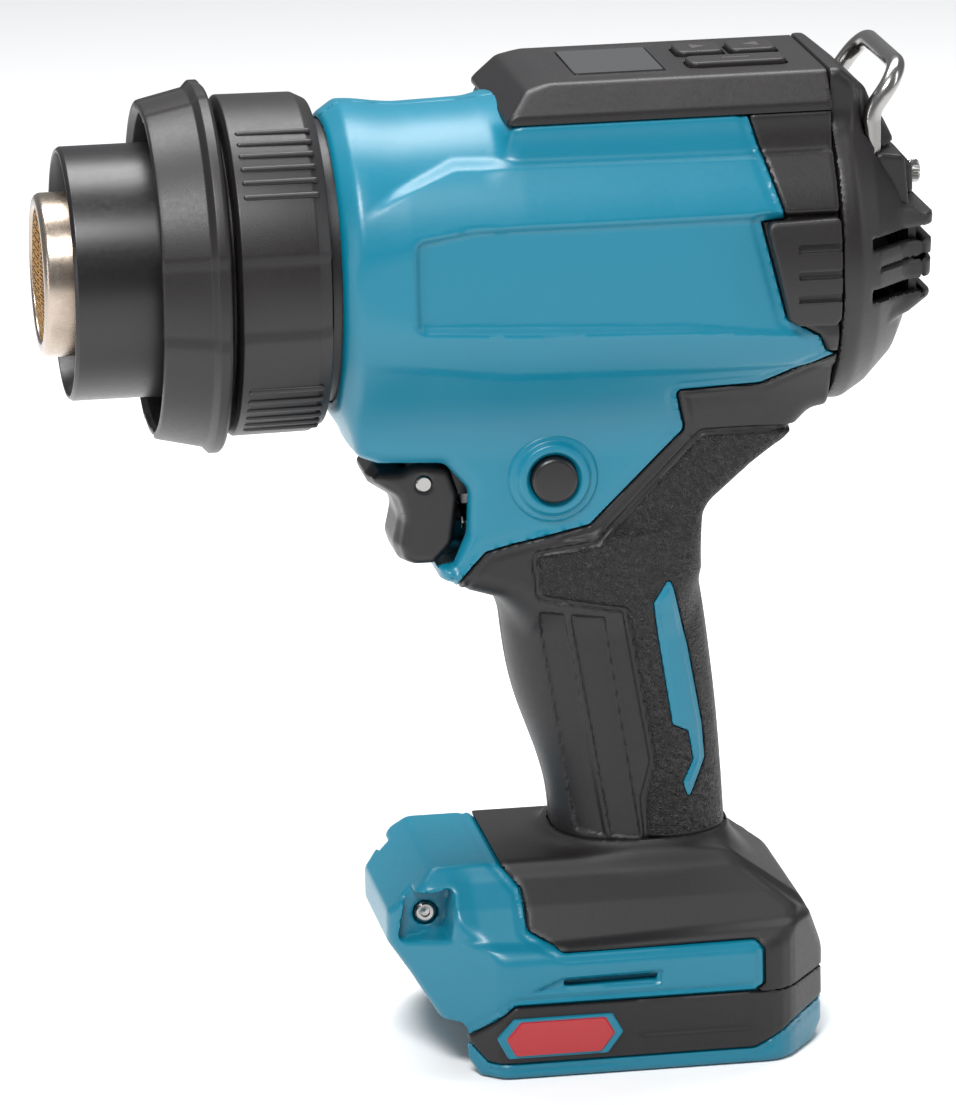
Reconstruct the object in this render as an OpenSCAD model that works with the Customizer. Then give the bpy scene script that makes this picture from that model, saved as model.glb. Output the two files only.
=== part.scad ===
// Cordless heat gun on a battery base: two housing halves, soft grips, a guarded steel outlet,
// heater, motor and fan, display panel, trigger, lock button and keys.
// The muzzle points along -X, +Z is up, and Y = 0 is the plane where the housing halves meet.
// The origin lies on the plane the base stands on, midway between the muzzle and the rear screw.

/* [Body] */
// Height of the barrel axis above the standing plane
barrel_z = 179.5; // [165:0.5:216]
// Outer radius of the barrel
body_r = 36.5; // [34:0.1:44]
// Front face of the housing
front_x = -35; // [-38:0.5:-30]
// Plane where the rear cover meets the housing
seam_x = 74; // [68:0.5:89]
// Wall thickness of the mouldings
wall = 2.6; // [1.8:0.1:3.2]

/* [Outlet] */
// Mouth of the outlet tube
muzzle_x = -98.5; // [-118:0.5:-96]
// Outer radius of the outlet tube
tube_r = 18; // [14:0.1:21.6]
// Wall of the outlet tube
tube_wall = 0.8; // [0.5:0.1:1.5]
// Length of the outlet tube that stands out of its cover
tube_lead = 6; // [3:0.5:12]
// Outer radius of the nozzle cover
cover_r = 27.8; // [25:0.1:30]
// Wall of the nozzle cover
cover_wall = 1.8; // [1.2:0.1:2.4]
// Length of the flared heat guard from its rim to the grip ring
guard_len = 16.5; // [12:0.5:20]
// How far the guard's flange stands proud of the barrel
flange_step = 4.5; // [2:0.5:8]
// Length of the grip ring
ring_len = 20.5; // [14:0.5:24]
// Gap between the grip ring and the housing
ring_gap = 2.5; // [1:0.5:4]

/* [Trigger] */
// Radius of the trigger's cross pin
pin_r = 1.8; // [1.2:0.1:2.2]
// Width of the trigger across the gun
trigger_w = 24; // [20:0.5:25]
// Wall of the trigger shell
trigger_wall = 2.2; // [1.5:0.1:3]
// Height of the trigger pin below the barrel axis
pin_drop = 49; // [48.6:0.2:50]
// Radius of the lock button
lock_r = 5.2; // [4:0.1:6.5]
// Travel of the lock button
lock_travel = 3; // [1.5:0.5:4]

/* [Handle] */
// Half depth of the grip, front to back
grip_a = 22; // [20:0.5:24]
// Half width of the grip
grip_b = 17.5; // [16:0.1:21]
// Thickness of the soft grip layer
skin = 2; // [1.5:0.1:2.5]
// Lean of the grip
lean = 9; // [6:0.5:11]

/* [Base] */
// Width of the base
base_w = 78; // [70:0.5:94]
// Height of the base
base_h = 45.7; // [42:0.1:50]
// Foremost point of the base's nose
nose_x = -27; // [-34:0.5:-24]
// Rearmost point of the base
tail_x = 71.3; // [66:0.1:80]
// Width of the battery slot
slot_w = 62; // [52:0.5:64]
// Height of the battery slot
slot_h = 12; // [10:0.5:14]
// Thickness of the bumpers on the base
bumper = 1.5; // [1:0.1:2]

/* [Panel] */
// Width of the display panel at its foot
panel_w = 51; // [48:0.5:56]
// Height of the display panel
panel_h = 8.4; // [8:0.1:10]
// Length of the display window along the gun
window_l = 20; // [16:0.5:21]
// Width of the display window
window_w = 26; // [20:0.5:31]
// Travel of a key
key_travel = 0.6; // [0.3:0.1:0.8]
// Gap round a key
key_gap = 0.3; // [0.15:0.05:0.5]

/* [Hook] */
// Radius of the hook wire
wire_r = 2; // [1.5:0.1:2.4]
// Distance between the hook's legs
hook_w = 40; // [34:0.5:42]
// Radius of the hook's bends
hook_bend = 5; // [3:0.5:8]
// How far the hook leans to the rear
hook_lean = 35; // [10:1:45]
// Length of the hook's sloping part
hook_slope = 6.5; // [3:0.5:12]

/* [Fan] */
// Radius of the fan wheel
fan_r = 28; // [24:0.5:29]
// Number of fan blades
fan_blades = 12; // [6:1:16]
// Radius of the motor can
motor_r = 14; // [11:0.5:17]
// Radius of the motor shaft
shaft_r = 1.6; // [1:0.1:2.5]

/* [Fits] */
// Clearance between pieces that are assembled and do not move
gap = 0.15; // [0.05:0.05:0.3]
// Radial clearance of a shaft, pin or ring that turns
run = 0.05; // [0.02:0.01:0.1]
// Clearance round a moving control
slack = 0.5; // [0.3:0.1:0.7]

/* [Hidden] */

teal = [0.12, 0.55, 0.65];
black = [0.16, 0.15, 0.15];
rubber_black = [0.2, 0.18, 0.18];
steel = [0.72, 0.68, 0.62];
mica = [0.78, 0.7, 0.55];
brass = [0.75, 0.6, 0.3];
big = 400;
round_fn = 96;
small_fn = 32;

ring_r = body_r + 0.7;
flange_r = body_r + flange_step;
rim_r = body_r + 0.5;
sleeve_r = body_r - 5.5;
ring_back_x = front_x - ring_gap;
ring_front_x = ring_back_x - ring_len;
guard_front_x = ring_front_x - guard_len;
cover_front_x = muzzle_x + tube_lead;
web_x = guard_front_x + 9;
web_t = 3;
flange_t = 2;
panel_z = barrel_z + body_r - 3.6;
panel_top = panel_z + panel_h;
saddle_x = 1;
neck_w = 2 * (grip_b - skin);
pin_x = -15.4;
pin_z = barrel_z - pin_drop;
lock_x = 12.5;
lock_z = barrel_z - 47.8;
slot_half = trigger_w / 2 + slack;
stem_r = 2.5;
stem_reach = 4.5;
block_half = hook_w / 2 + 3.5;
fin_half = block_half + 3.5;
shelf_z = base_h - bumper;
grip_x = 25;
board_z = panel_z + 0.6;
board_t = 1.4;
lid_t = 2.2;
key_foot_z = board_z + board_t + key_travel + 1.2;
hook_x = seam_x + 9.8;
block_top = barrel_z + 22.5;
bend_z = barrel_z + 28.5;
leg_in = hook_w / 2 - wire_r - 0.8;
motor_x0 = -4;
motor_x1 = 30;
fan_x0 = 34;
fan_x1 = 50;
post_r = 4.2;
screw_r = 1.4;
head_r = 2.7;
head_y = 11.2;

function unit(v) = v / norm(v);

// Points of an arc of radius b[2] that rounds the corner b between its neighbours a and c.
function corner(a, b, c, n) =
    let (p = [b[0], b[1]], u = unit([a[0], a[1]] - p), v = unit([c[0], c[1]] - p), r = b[2])
    r == undef || r == 0 || abs(u * v) > 0.999 ? [p] :
    let (half = acos(u * v) / 2, m = p + unit(u + v) * r / sin(half),
        s = p + u * r / tan(half) - m, e = p + v * r / tan(half) - m,
        a0 = atan2(s[1], s[0]), turn = (atan2(e[1], e[0]) - a0 + 540) % 360 - 180)
    [for (i = [0:n]) m + r * [cos(a0 + turn * i / n), sin(a0 + turn * i / n)]];

// A closed outline with its corners rounded; each point is [x, y, radius].
function rounded(pts, n = 5) =
    let (k = len(pts))
    [for (i = [0:k - 1]) each corner(pts[(i + k - 1) % k], pts[i], pts[(i + 1) % k], n)];

// A flattened oval, between an ellipse and a rectangle.
function oval(a, b, n = 40, p = 2.5) =
    [for (i = [0:n - 1]) let (c = cos(360 * i / n), s = sin(360 * i / n))
        [a * sign(c) * pow(abs(c), 2 / p), b * sign(s) * pow(abs(s), 2 / p)]];

// The same outline placed at a height.
function lift(pts, z) = [for (p = pts) [p[0], p[1] + z, p[2]]];

// Turns a profile of [radius, x] points round the barrel axis.
module revolve(pts, z = barrel_z, fn = round_fn)
    translate([0, 0, z]) rotate([0, 90, 0]) rotate_extrude($fn = fn) polygon(pts);

// A ring or disc on the barrel axis.
module tube_x(x0, x1, ro, ri = 0, fn = round_fn)
    revolve(ri > 0 ? [[ri, x0], [ro, x0], [ro, x1], [ri, x1]] : [[0, x0], [ro, x0], [ro, x1], [0, x1]], fn = fn);

// Raises an outline of [x, z] points across the gun from y0 to y1.
module slab(pts, y0, y1)
    translate([0, y1, 0]) rotate([90, 0, 0]) linear_extrude(y1 - y0) polygon(pts);

// Raises an outline of [y, z] points along the gun from x0 to x1.
module bar(pts, x0, x1)
    translate([x0, 0, 0]) rotate([90, 0, 90]) linear_extrude(x1 - x0) polygon(pts);

// A round peg across the gun.
module peg(x, z, r, y0, y1, fn = small_fn)
    translate([x, y1, z]) rotate([90, 0, 0]) cylinder(h = y1 - y0, r = r, $fn = fn);

// A round peg along the gun.
module rod(x0, x1, y, z, r, fn = small_fn)
    translate([x0, y, z]) rotate([0, 90, 0]) cylinder(h = x1 - x0, r = r, $fn = fn);

module box(low, high) translate(low) cube(high - low);

// A round wire along a path that nowhere runs along X.
module sweep(path, r, sides) {
    n = len(path) - 1;
    pts = [for (i = [0:n])
        let (t = unit(path[min(i + 1, n)] - path[max(i - 1, 0)]), u = unit(cross(t, [1, 0, 0])), v = cross(t, u))
        for (j = [0:sides - 1]) path[i] + r * (u * cos(360 * j / sides) + v * sin(360 * j / sides))];
    polyhedron(pts, concat([[for (j = [0:sides - 1]) j]],
        [for (i = [0:n - 1], j = [0:sides - 1]) let (k = (j + 1) % sides)
            [i * sides + k, i * sides + j, (i + 1) * sides + j, (i + 1) * sides + k]],
        [[for (j = [sides - 1:-1:0]) n * sides + j]]));
}

// Keeps the left half (side = -1) or the right half (side = 1) of what it is given.
module half(side) intersection() {
    children();
    translate([-big / 2, side < 0 ? -big : 0, -big / 2]) cube([big, big, 2 * big]);
}

// ---- Housing ----

function barrel_profile(inset) = [
    [0, front_x + inset], [body_r - 3.3 - inset, front_x + inset], [body_r - 2.1 - inset, front_x + 1.5 + inset],
    [body_r - 0.7 - inset, front_x + 15], [body_r - inset, front_x + 40], [body_r - inset, seam_x], [0, seam_x]];

function neck_outline(inset) = rounded(lift([
    [-31 + inset, -20], [-30.5 + inset, -41 + inset, 2], [-26, -43 + inset, 2], [-11.3, -43.8 + inset, 3],
    [-6 + inset, -50], [-6.4 + inset, -60], [-9.5 + inset, -67 + inset, 1], [-13.5 + inset, -66.6 + inset],
    [-12.4 + inset, -70.4 + inset, 1], [-8, -72.5 + inset, 2], [0.9 + inset, -76, 3], [3 + inset, -88],
    [47.5 - inset, -88], [46.6 - inset, -70], [45.9 - inset, -57, 8], [57 - inset, -47.5 + inset, 6],
    [64.5 - inset, -42, 6], [69 - inset, -34 + inset, 5], [seam_x - inset, -32.5 + inset], [seam_x - inset, -15]],
    barrel_z));

module grip_prism(inset, z0, z1)
    intersection() {
        translate([grip_x, 0, barrel_z - 85]) rotate([0, -lean, 0]) translate([0, 0, -big / 2])
            linear_extrude(big) polygon(oval(grip_a - inset, grip_b - inset));
        box([-big, -big, z0], [big, big, z1]);
    }

module saddle(inset)
    bar(rounded([[-panel_w / 2 + inset, panel_z - 14], [-panel_w / 2 + inset, panel_z - inset, 0.6],
        [panel_w / 2 - inset, panel_z - inset, 0.6], [panel_w / 2 - inset, panel_z - 14]]),
        saddle_x + inset, seam_x);

// Everything above a height, from the panel's front edge back.
module above(x0, z0) box([x0, -big, z0], [big, big, big]);

module core_solid() {
    difference() {
        revolve(barrel_profile(0));
        above(saddle_x + 2 - gap, panel_z);
    }
    saddle(0);
    slab(neck_outline(0), -neck_w / 2, neck_w / 2);
    grip_prism(skin, shelf_z, barrel_z - 72);
}

module core_hollow() {
    difference() {
        revolve([for (p = barrel_profile(wall)) [p[0], p[1] > seam_x - 1 ? seam_x + 1 : p[1]]]);
        above(saddle_x + 1.3, panel_z - wall);
    }
    slab(neck_outline(wall), -neck_w / 2 + wall, neck_w / 2 - wall);
    grip_prism(skin + wall, shelf_z - 1, barrel_z - 72);
}

post_places = [[-24, barrel_z + body_r - 7.5], [66, barrel_z + body_r - 7.5], [-24, barrel_z - body_r + 7.5],
    [60, barrel_z - body_r + 7.5], [13.5, barrel_z - 90], [37, base_h + 10]];
board_span = [-7.5, 9];

// Posts that take the housing screws, from one side wall to the other, blind at the left end.
module posts() for (p = post_places) peg(p[0], p[1], post_r, -big, big);

module post_bores() for (p = post_places) {
    peg(p[0], p[1], screw_r + gap, -10, head_y + 1);
    peg(p[0], p[1], head_r + gap, head_y, big);
}

module trigger_slot() box([-60, -slot_half, barrel_z - 68], [-2, slot_half, barrel_z - 42.4]);

module housing(side) half(side) difference() {
    core_solid();
    difference() {
        core_hollow();
        posts();
    }
    tube_x(front_x - 1, front_x + wall + 1, sleeve_r + gap);
    trigger_slot();
    peg(lock_x, lock_z, lock_r + 1.6 + gap, -big, 0);
    peg(lock_x, lock_z, lock_r + 5 + gap, -big, -neck_w / 2);
    box([20, -6, panel_z - 12], [40, 6, panel_z + 1]);
    post_bores();
}

module housing_left() color(teal) housing(-1);
module housing_right() color(teal) housing(1);

// ---- Soft grips ----

// The part of the side that the soft layer covers, below and behind the coloured housing.
function grip_area() = rounded(lift([
    [-60, -110], [-60, -76], [-8, -76], [-8, -70.5, 2], [-2.8, -64.1, 2], [2.9, -62.7], [20.6, -59.2, 2],
    [42, -38.4, 3], [39.5, -28.5, 1], [58, -27.8, 3], [seam_x - 3, -21.6], [seam_x - gap, -20],
    [seam_x - gap, -110]], barrel_z));

module grip(side) half(side) difference() {
    intersection() {
        union() {
            grip_prism(0, base_h, barrel_z - 72);
            slab(neck_outline(-skin), -grip_b, grip_b);
        }
        union() {
            slab(grip_area(), -big, big);
            box([-big, -big, base_h], [big, big, barrel_z - 100]);
        }
    }
    core_solid();
    trigger_slot();
    stripe_cut();
    peg(lock_x, lock_z, lock_r + 6, -big, 0);
    post_bores();
}

module grip_left() color(rubber_black) grip(-1);
module grip_right() color(rubber_black) grip(1);

// The coloured stripe let into the grip.
function stripe() = rounded(lift([
    [33.6, -13, 1], [38.5, -12, 1], [46.3, -37.5], [46.9, -49, 1], [42, -50, 1], [43.2, -38], [38.6, -30]],
    barrel_z - 77.5));

module stripe_cut() for (s = [-1, 1]) slab(stripe(), s < 0 ? -big : grip_b / 3, s < 0 ? -grip_b / 3 : big);

module grip_inserts() color(teal) difference() {
    intersection() {
        stripe_cut();
        grip_prism(0, base_h, barrel_z - 72);
    }
    core_solid();
}

module side_pads() color(rubber_black) for (s = [-1, 1]) difference() {
    intersection() {
        tube_x(50, seam_x - gap, body_r + 1.4, body_r);
        slab(rounded(lift([[56.8, 10.5, 3], [62.2, -11.3, 1], [64.2, -12.6, 1], [seam_x - 1.6, -13, 1],
            [seam_x - 0.3, -11.4], [seam_x - 0.3, 11.3, 1]], barrel_z)),
            s < 0 ? -big : 0, s < 0 ? 0 : big);
    }
    for (z = [-6.5, -1, 5]) box([64, -big, barrel_z + z - 0.7], [seam_x - 2, big, barrel_z + z + 0.7]);
}

// ---- Rear cover, hook ----

module rear_solid(inset) {
    x0 = inset > 0 ? seam_x - 1 : seam_x;
    revolve([[0, x0], [body_r - inset, x0], [body_r - inset, seam_x + 4], [body_r - 3 - inset, seam_x + 9],
        [body_r - 9 - inset, seam_x + 15 - inset], [body_r - 14 - inset, seam_x + 17.5 - inset],
        [0, seam_x + 17.5 - inset]]);
    intersection() {
        slab(rounded(lift([[x0, 15], [x0, 41.4 - inset], [seam_x + 3 - inset, 41.4 - inset, 2],
            [seam_x + 9 - inset, 36, 4], [seam_x + 15.5 - inset, 22.5], [seam_x + 15.5 - inset, 15]], barrel_z)),
            -22 + inset, 22 - inset);
        linear_extrude(big) polygon([[x0, -23], [seam_x + 7 - inset, -23], [seam_x + 7 - inset, -leg_in],
            [seam_x + 16, -leg_in + 6], [seam_x + 16, leg_in - 6], [seam_x + 7 - inset, leg_in],
            [seam_x + 7 - inset, 23], [x0, 23]]);
    }
}

module rear_cover() color(black) difference() {
    union() {
        rear_solid(0);
        slab(rounded(lift([[seam_x + 9, 11.3], [seam_x + 18, 10.9, 1], [seam_x + 23.3, 8.9, 1.5],
            [seam_x + 22.8, 0], [seam_x + 22.3, -10.4, 1.5], [seam_x + 17, -13.4, 2], [seam_x + 8, -16]], barrel_z)),
            -fin_half, fin_half);
    }
    rear_solid(wall);
    for (z = [2.8, -8.7]) box([seam_x + 7, -big, barrel_z + z], [seam_x + 40, big, barrel_z + z + 2.8]);
    box([seam_x + 12, 4 - fin_half, barrel_z - 9.5], [seam_x + 20.3, fin_half - 4, barrel_z + 6]);
    box([seam_x + 9.7 - gap, -block_half - gap, barrel_z + 8.6 - gap],
        [seam_x + 40, block_half + gap, block_top + gap]);
    leg_holes();
}

module leg_holes() for (s = [-1, 1]) translate([hook_x, s * hook_w / 2, barrel_z + 13.5])
    cylinder(h = 40, r = wire_r + gap, $fn = small_fn);

module hook_block() color(black) difference() {
    union() {
        slab(rounded(lift([[seam_x + 9.7, 8.6], [seam_x + 9.7, 22.5, 1], [seam_x + 16.6, 21.6, 1],
            [seam_x + 17.6, 8.6]], barrel_z)), -block_half, block_half);
        slab(rounded(lift([[seam_x + 12, 8.6], [seam_x + 12, 22, 1], [seam_x + 17.5, 20.6, 1],
            [seam_x + 22, 15.6, 2], [seam_x + 22, 8.6, 2]], barrel_z)), -7, 7);
    }
    leg_holes();
    rod(seam_x + 11.5, seam_x + 23, 0, barrel_z + 13, screw_r + 0.4 + gap);
}

// Path of one side of the hook: a leg in its block, a lean to the rear, a slope and a turn inwards.
function hook_side() =
    let (y = hook_w / 2, d = [sin(hook_lean), 0, cos(hook_lean)],
        e = [hook_x + hook_bend * (1 - cos(hook_lean)), y, bend_z + hook_bend * sin(hook_lean)])
    concat([[hook_x, y, barrel_z + 13.7]],
        [for (i = [0:4]) let (a = hook_lean * i / 4)
            [hook_x + hook_bend * (1 - cos(a)), y, bend_z + hook_bend * sin(a)]],
        [for (i = [0:6]) e + d * (hook_slope + hook_bend * sin(15 * i)) - [0, hook_bend * (1 - cos(15 * i)), 0]]);

module hanging_hook() color(steel) {
    side = hook_side();
    k = len(side);
    sweep(concat(side, [for (i = [k - 1:-1:0]) [side[i][0], -side[i][1], side[i][2]]]), wire_r, 20);
}

module hook_screw() color(steel) {
    rod(seam_x + 12, seam_x + 22, 0, barrel_z + 13, screw_r + 0.4);
    difference() {
        rod(seam_x + 22, -muzzle_x, 0, barrel_z + 13, head_r);
        rod(-muzzle_x - 1.2, big, 0, barrel_z + 13, 1.4, 6);
    }
}

// ---- Display panel ----

function panel_section(inset, foot) = rounded([
    [-panel_w / 2 + inset, panel_z - foot], [-panel_w / 2 + inset, panel_z + 2, 1.5],
    [-panel_w / 2 + 5.5 + inset, panel_top - inset, 2], [panel_w / 2 - 5.5 - inset, panel_top - inset, 2],
    [panel_w / 2 - inset, panel_z + 2, 1.5], [panel_w / 2 - inset, panel_z - foot]]);

module panel_solid(inset, foot) intersection() {
    bar(panel_section(inset, foot), saddle_x + inset, seam_x - gap + (foot > 0 ? 1 : 0));
    slab(rounded([[saddle_x + 2 + inset, panel_z - foot], [saddle_x + 2 + inset, panel_z + 1],
        [saddle_x + 7 + inset, panel_top - 1.6 - inset, 3], [saddle_x + 13 + inset, panel_top - inset, 3],
        [seam_x + 2, panel_top - inset], [seam_x + 2, panel_z - foot]]), -big, big);
}

window_x = [19.5, 19.5 + window_l];
key_half = 5.2;
key_rows = [[50.3, 6.6, 5.2, 5.2], [62.2, 6.6, 5.2, 5.2], [56.2, -7.4, 10.8, 4]];

module key_hole(k, extra, z0, z1) translate([k[0], k[1], z0])
    linear_extrude(z1 - z0) polygon(rounded([[-k[2] - extra, -k[3] - extra, 2], [k[2] + extra, -k[3] - extra, 2],
        [k[2] + extra, k[3] + extra, 2], [-k[2] - extra, k[3] + extra, 2]]));

module display_panel() color(black) difference() {
    panel_solid(0, 0);
    panel_solid(lid_t, 1);
    box([window_x[0], -window_w / 2, panel_top - 1.2], [window_x[1], window_w / 2, panel_top + 1]);
    box([window_x[0] + 2, -window_w / 2 + 2, panel_z], [window_x[1] - 2, window_w / 2 - 2, panel_top + 1]);
    for (k = key_rows) key_hole(k, key_gap, panel_z, panel_top + 1);
}

module display_window() color([0.25, 0.3, 0.3])
    box([window_x[0] + gap, -window_w / 2 + gap, panel_top - 1.2], [window_x[1] - gap, window_w / 2 - gap, panel_top]);

module display_module() color([0.55, 0.6, 0.55])
    box([window_x[0] + 1, -window_w / 2 + 1, board_z + board_t], [window_x[1] - 1, window_w / 2 - 1, panel_top - lid_t - gap]);

module panel_board() color([0.1, 0.35, 0.2]) {
    box([window_x[0] - 4, -19, board_z], [seam_x - 3, 19, board_z + board_t]);
    for (k = key_rows) translate([k[0], k[1], board_z + board_t]) cylinder(h = 1, r = 2, $fn = small_fn);
}

module key(k) {
    key_hole(k, 0, key_foot_z, panel_top + 0.8);
    key_hole([k[0], k[1], k[2] + 0.5, k[3] + 0.5], 0, key_foot_z, panel_top - lid_t - 0.2);
}

module up_key() color(rubber_black) key(key_rows[0]);
module down_key() color(rubber_black) key(key_rows[1]);
module mode_key() color(rubber_black) key(key_rows[2]);

// ---- Guard and outlet ----

module heat_guard() color(black) revolve([
    [cover_r + gap, web_x], [rim_r - wall, web_x - 2], [rim_r - wall, guard_front_x + 1],
    [rim_r - 1, guard_front_x], [rim_r, guard_front_x + 1], [rim_r + 2.4, ring_front_x - 6],
    [flange_r - 0.5, ring_front_x - 4.4], [flange_r, ring_front_x - 3.6], [flange_r - 0.3, ring_front_x - 2.6],
    [ring_r - 1.5, ring_front_x - 1], [sleeve_r, ring_front_x - 1], [sleeve_r, front_x + wall],
    [sleeve_r - wall + gap, front_x + wall], [sleeve_r - wall + gap, web_x + web_t], [cover_r + gap, web_x + web_t]]);

module lock_ring() color(black) difference() {
    revolve([[sleeve_r + run, ring_front_x], [ring_r - 0.6, ring_front_x], [ring_r + 0.3, ring_front_x + 1],
        [ring_r, ring_back_x - 4], [ring_r - 1.5, ring_back_x], [sleeve_r + run, ring_back_x]]);
    for (s = [-1, 1], a = [-61.5, 35]) for (i = [0:5])
        translate([0, 0, barrel_z]) rotate([a + i * 5.3 + (s > 0 ? 180 : 0), 0, 0])
            box([ring_front_x + 2, -ring_r - 1, -0.7], [ring_back_x - 5, -ring_r + 0.7, 0.7]);
}

module nozzle_cover() color(black) revolve([
    [cover_r - cover_wall, cover_front_x + 1.2], [cover_r - 1.2, cover_front_x], [cover_r, cover_front_x + 1.4],
    [cover_r, web_x + web_t], [cover_r - cover_wall, web_x + web_t]]);

tube_back_x = front_x - 2;
tube_step = 0.6;

// The front stretch takes slip-on nozzles; the slightly wider rear is held by the flange.
module outlet_tube() color(steel) revolve([
    [tube_r - tube_wall, muzzle_x + 0.5], [tube_r - 0.4, muzzle_x], [tube_r, muzzle_x + 1],
    [tube_r, web_x], [tube_r + tube_step, web_x + 1], [tube_r + tube_step, tube_back_x],
    [tube_r - tube_wall, tube_back_x]]);

module tube_flange() color(steel)
    tube_x(tube_back_x - 4, tube_back_x - 4 + flange_t, sleeve_r - wall, tube_r + tube_step + run);

module outlet_mesh() color(steel) {
    mesh_x = muzzle_x + 2.5;
    reach_r = tube_r - tube_wall - gap;
    tube_x(mesh_x, mesh_x + 1.6, reach_r, reach_r - 1);
    intersection() {
        union() for (i = [-4:4]) {
            box([mesh_x + 0.2, i * 3.6 - 0.4, barrel_z - big / 4], [mesh_x + 1, i * 3.6 + 0.4, barrel_z + big / 4]);
            box([mesh_x + 0.2, -big / 4, barrel_z + i * 3.6 - 0.4], [mesh_x + 1, big / 4, barrel_z + i * 3.6 + 0.4]);
        }
        tube_x(mesh_x, mesh_x + 2, reach_r - 0.5);
    }
}

module mica_sleeve() color(mica)
    tube_x(muzzle_x + 12, tube_back_x - 1, tube_r - tube_wall - gap, tube_r - tube_wall - gap - 0.5);

core_r = tube_r - tube_wall - 1.6;
core_x = [muzzle_x + 14, tube_back_x - 3];
probe_r = 0.8;

module heater_core() color(mica) {
    box([core_x[0], -core_r, barrel_z - 0.5], [core_x[1], core_r, barrel_z + 0.5]);
    box([core_x[0], -0.5, barrel_z + 0.5], [core_x[1], 0.5, barrel_z + core_r]);
    box([core_x[0], -0.5, barrel_z - core_r], [core_x[1], 0.5, barrel_z - 0.5]);
}

module heating_coils() color(steel)
    for (x = [core_x[0] + 4:5:core_x[1] - 3], r = [6, 11])
        translate([x, 0, barrel_z]) rotate([0, 90, 0]) rotate_extrude($fn = small_fn)
            translate([r, 0]) circle(r = 0.7, $fn = 12.1);

module thermocouple() color(steel) rod(core_x[0] - 4, tube_back_x + 8, 6, barrel_z + 6, probe_r);

// ---- Motor and fan ----

module air_guide() color(black) {
    tube_x(motor_x0 - 3, motor_x0 + 6, body_r - wall - 1.4, body_r - wall - 3.4);
    tube_x(motor_x0, motor_x0 + 6, motor_r + 2 + gap, motor_r + gap);
    for (a = [30:120:270]) translate([0, 0, barrel_z]) rotate([a, 0, 0])
        box([motor_x0, motor_r + 1.5 + gap, -1], [motor_x0 + 6, body_r - wall - 2.4, 1]);
}

module motor() color(steel) difference() {
    union() {
        tube_x(motor_x0, motor_x1, motor_r);
        tube_x(motor_x1, motor_x1 + 2, shaft_r + 3);
    }
    rod(motor_x0 - 1, motor_x1 + 3, 0, barrel_z, shaft_r + run);
}

module motor_shaft() color(steel) rod(motor_x0 + 1, fan_x1 + 1, 0, barrel_z, shaft_r);

module fan_wheel() color(black) difference() {
    union() {
        tube_x(fan_x0, fan_x0 + 1.6, fan_r);
        tube_x(fan_x0, fan_x1 - 2, shaft_r + 4);
        for (i = [0:fan_blades - 1]) translate([0, 0, barrel_z]) rotate([360 * i / fan_blades, 0, 0])
            box([fan_x0 + 1, shaft_r + 3, -0.7], [fan_x1, fan_r - 0.4, 0.7]);
    }
    rod(fan_x0 - 1, fan_x1 + 2, 0, barrel_z, shaft_r);
}

// ---- Trigger ----

function trigger_outline(inset) = rounded(lift([
    [-25.9 + inset, 4.4 - inset, 1.5], [-27.7 + inset, 1.6, 1.5], [-22 + inset, -3.6, 3], [-20.5 + inset, -8, 4],
    [-21.9 + inset, -14.4, 3], [-20.6 + inset, -18.4 + inset, 2], [-13, -18.4 + inset, 2],
    [-9 - inset, -14, 3], [-7.5 - inset, -3, 3], [-9.6 - inset, 3.6 - inset, 2.5], [-15.4, 4.5 - inset, 3]],
    pin_z));

module trigger() color(black) difference() {
    slab(trigger_outline(0), -trigger_w / 2, trigger_w / 2);
    slab(rounded(lift([[-19.6, -14], [-19.2, -8], [-20.3, -3], [-20.3, 12], [6, 12], [6, -14]], pin_z)),
        -trigger_w / 2 + trigger_wall, trigger_w / 2 - trigger_wall);
    peg(pin_x, pin_z, pin_r + run, -trigger_w, trigger_w);
}

module trigger_pin() color(steel) peg(pin_x, pin_z, pin_r, -trigger_w / 2 - 0.2, trigger_w / 2 + 0.2);

switch_half = trigger_w / 2 - trigger_wall - slack;
switch_x = -4;
plunger_r = 2;
plunger_drop = 10;
plunger_x = -18.9;

module trigger_switch() color(black) difference() {
    slab(rounded(lift([[pin_x - 3, -3.4, 2], [pin_x - 3, 3.4, 2], [24, 4, 1], [24, -14, 1], [switch_x, -14, 1],
        [switch_x, -3.4]], pin_z)), -switch_half, switch_half);
    peg(pin_x, pin_z, pin_r, -trigger_w, trigger_w);
    rod(switch_x - 1, 8, 0, pin_z - plunger_drop, plunger_r + run);
    peg(lock_x, lock_z, stem_r + run, -big, lock_travel - stem_reach + slack);
}

module switch_plunger() color(rubber_black) rod(plunger_x, 2, 0, pin_z - plunger_drop, plunger_r);

// A compression spring round the plunger, between the trigger's shell and the switch.
module trigger_spring() color(steel) {
    turns = 6;
    steps = 14;
    spring_wire = 0.35;
    coil_r = plunger_r + 1.4;
    x0 = plunger_x + spring_wire;
    length = switch_x - gap - spring_wire - x0;
    sweep([for (i = [0:turns * steps]) let (t = 360 * i / steps)
        [x0 + length * i / turns / steps, coil_r * cos(t), pin_z - plunger_drop + coil_r * sin(t)]], spring_wire, 6);
}

lock_out_y = -grip_b - 3.4;

module lock_button() color(black) {
    peg(lock_x, lock_z, lock_r, lock_out_y, -neck_w / 2 + 3);
    peg(lock_x, lock_z, stem_r, -neck_w / 2 + 2, -stem_reach);
}

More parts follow.
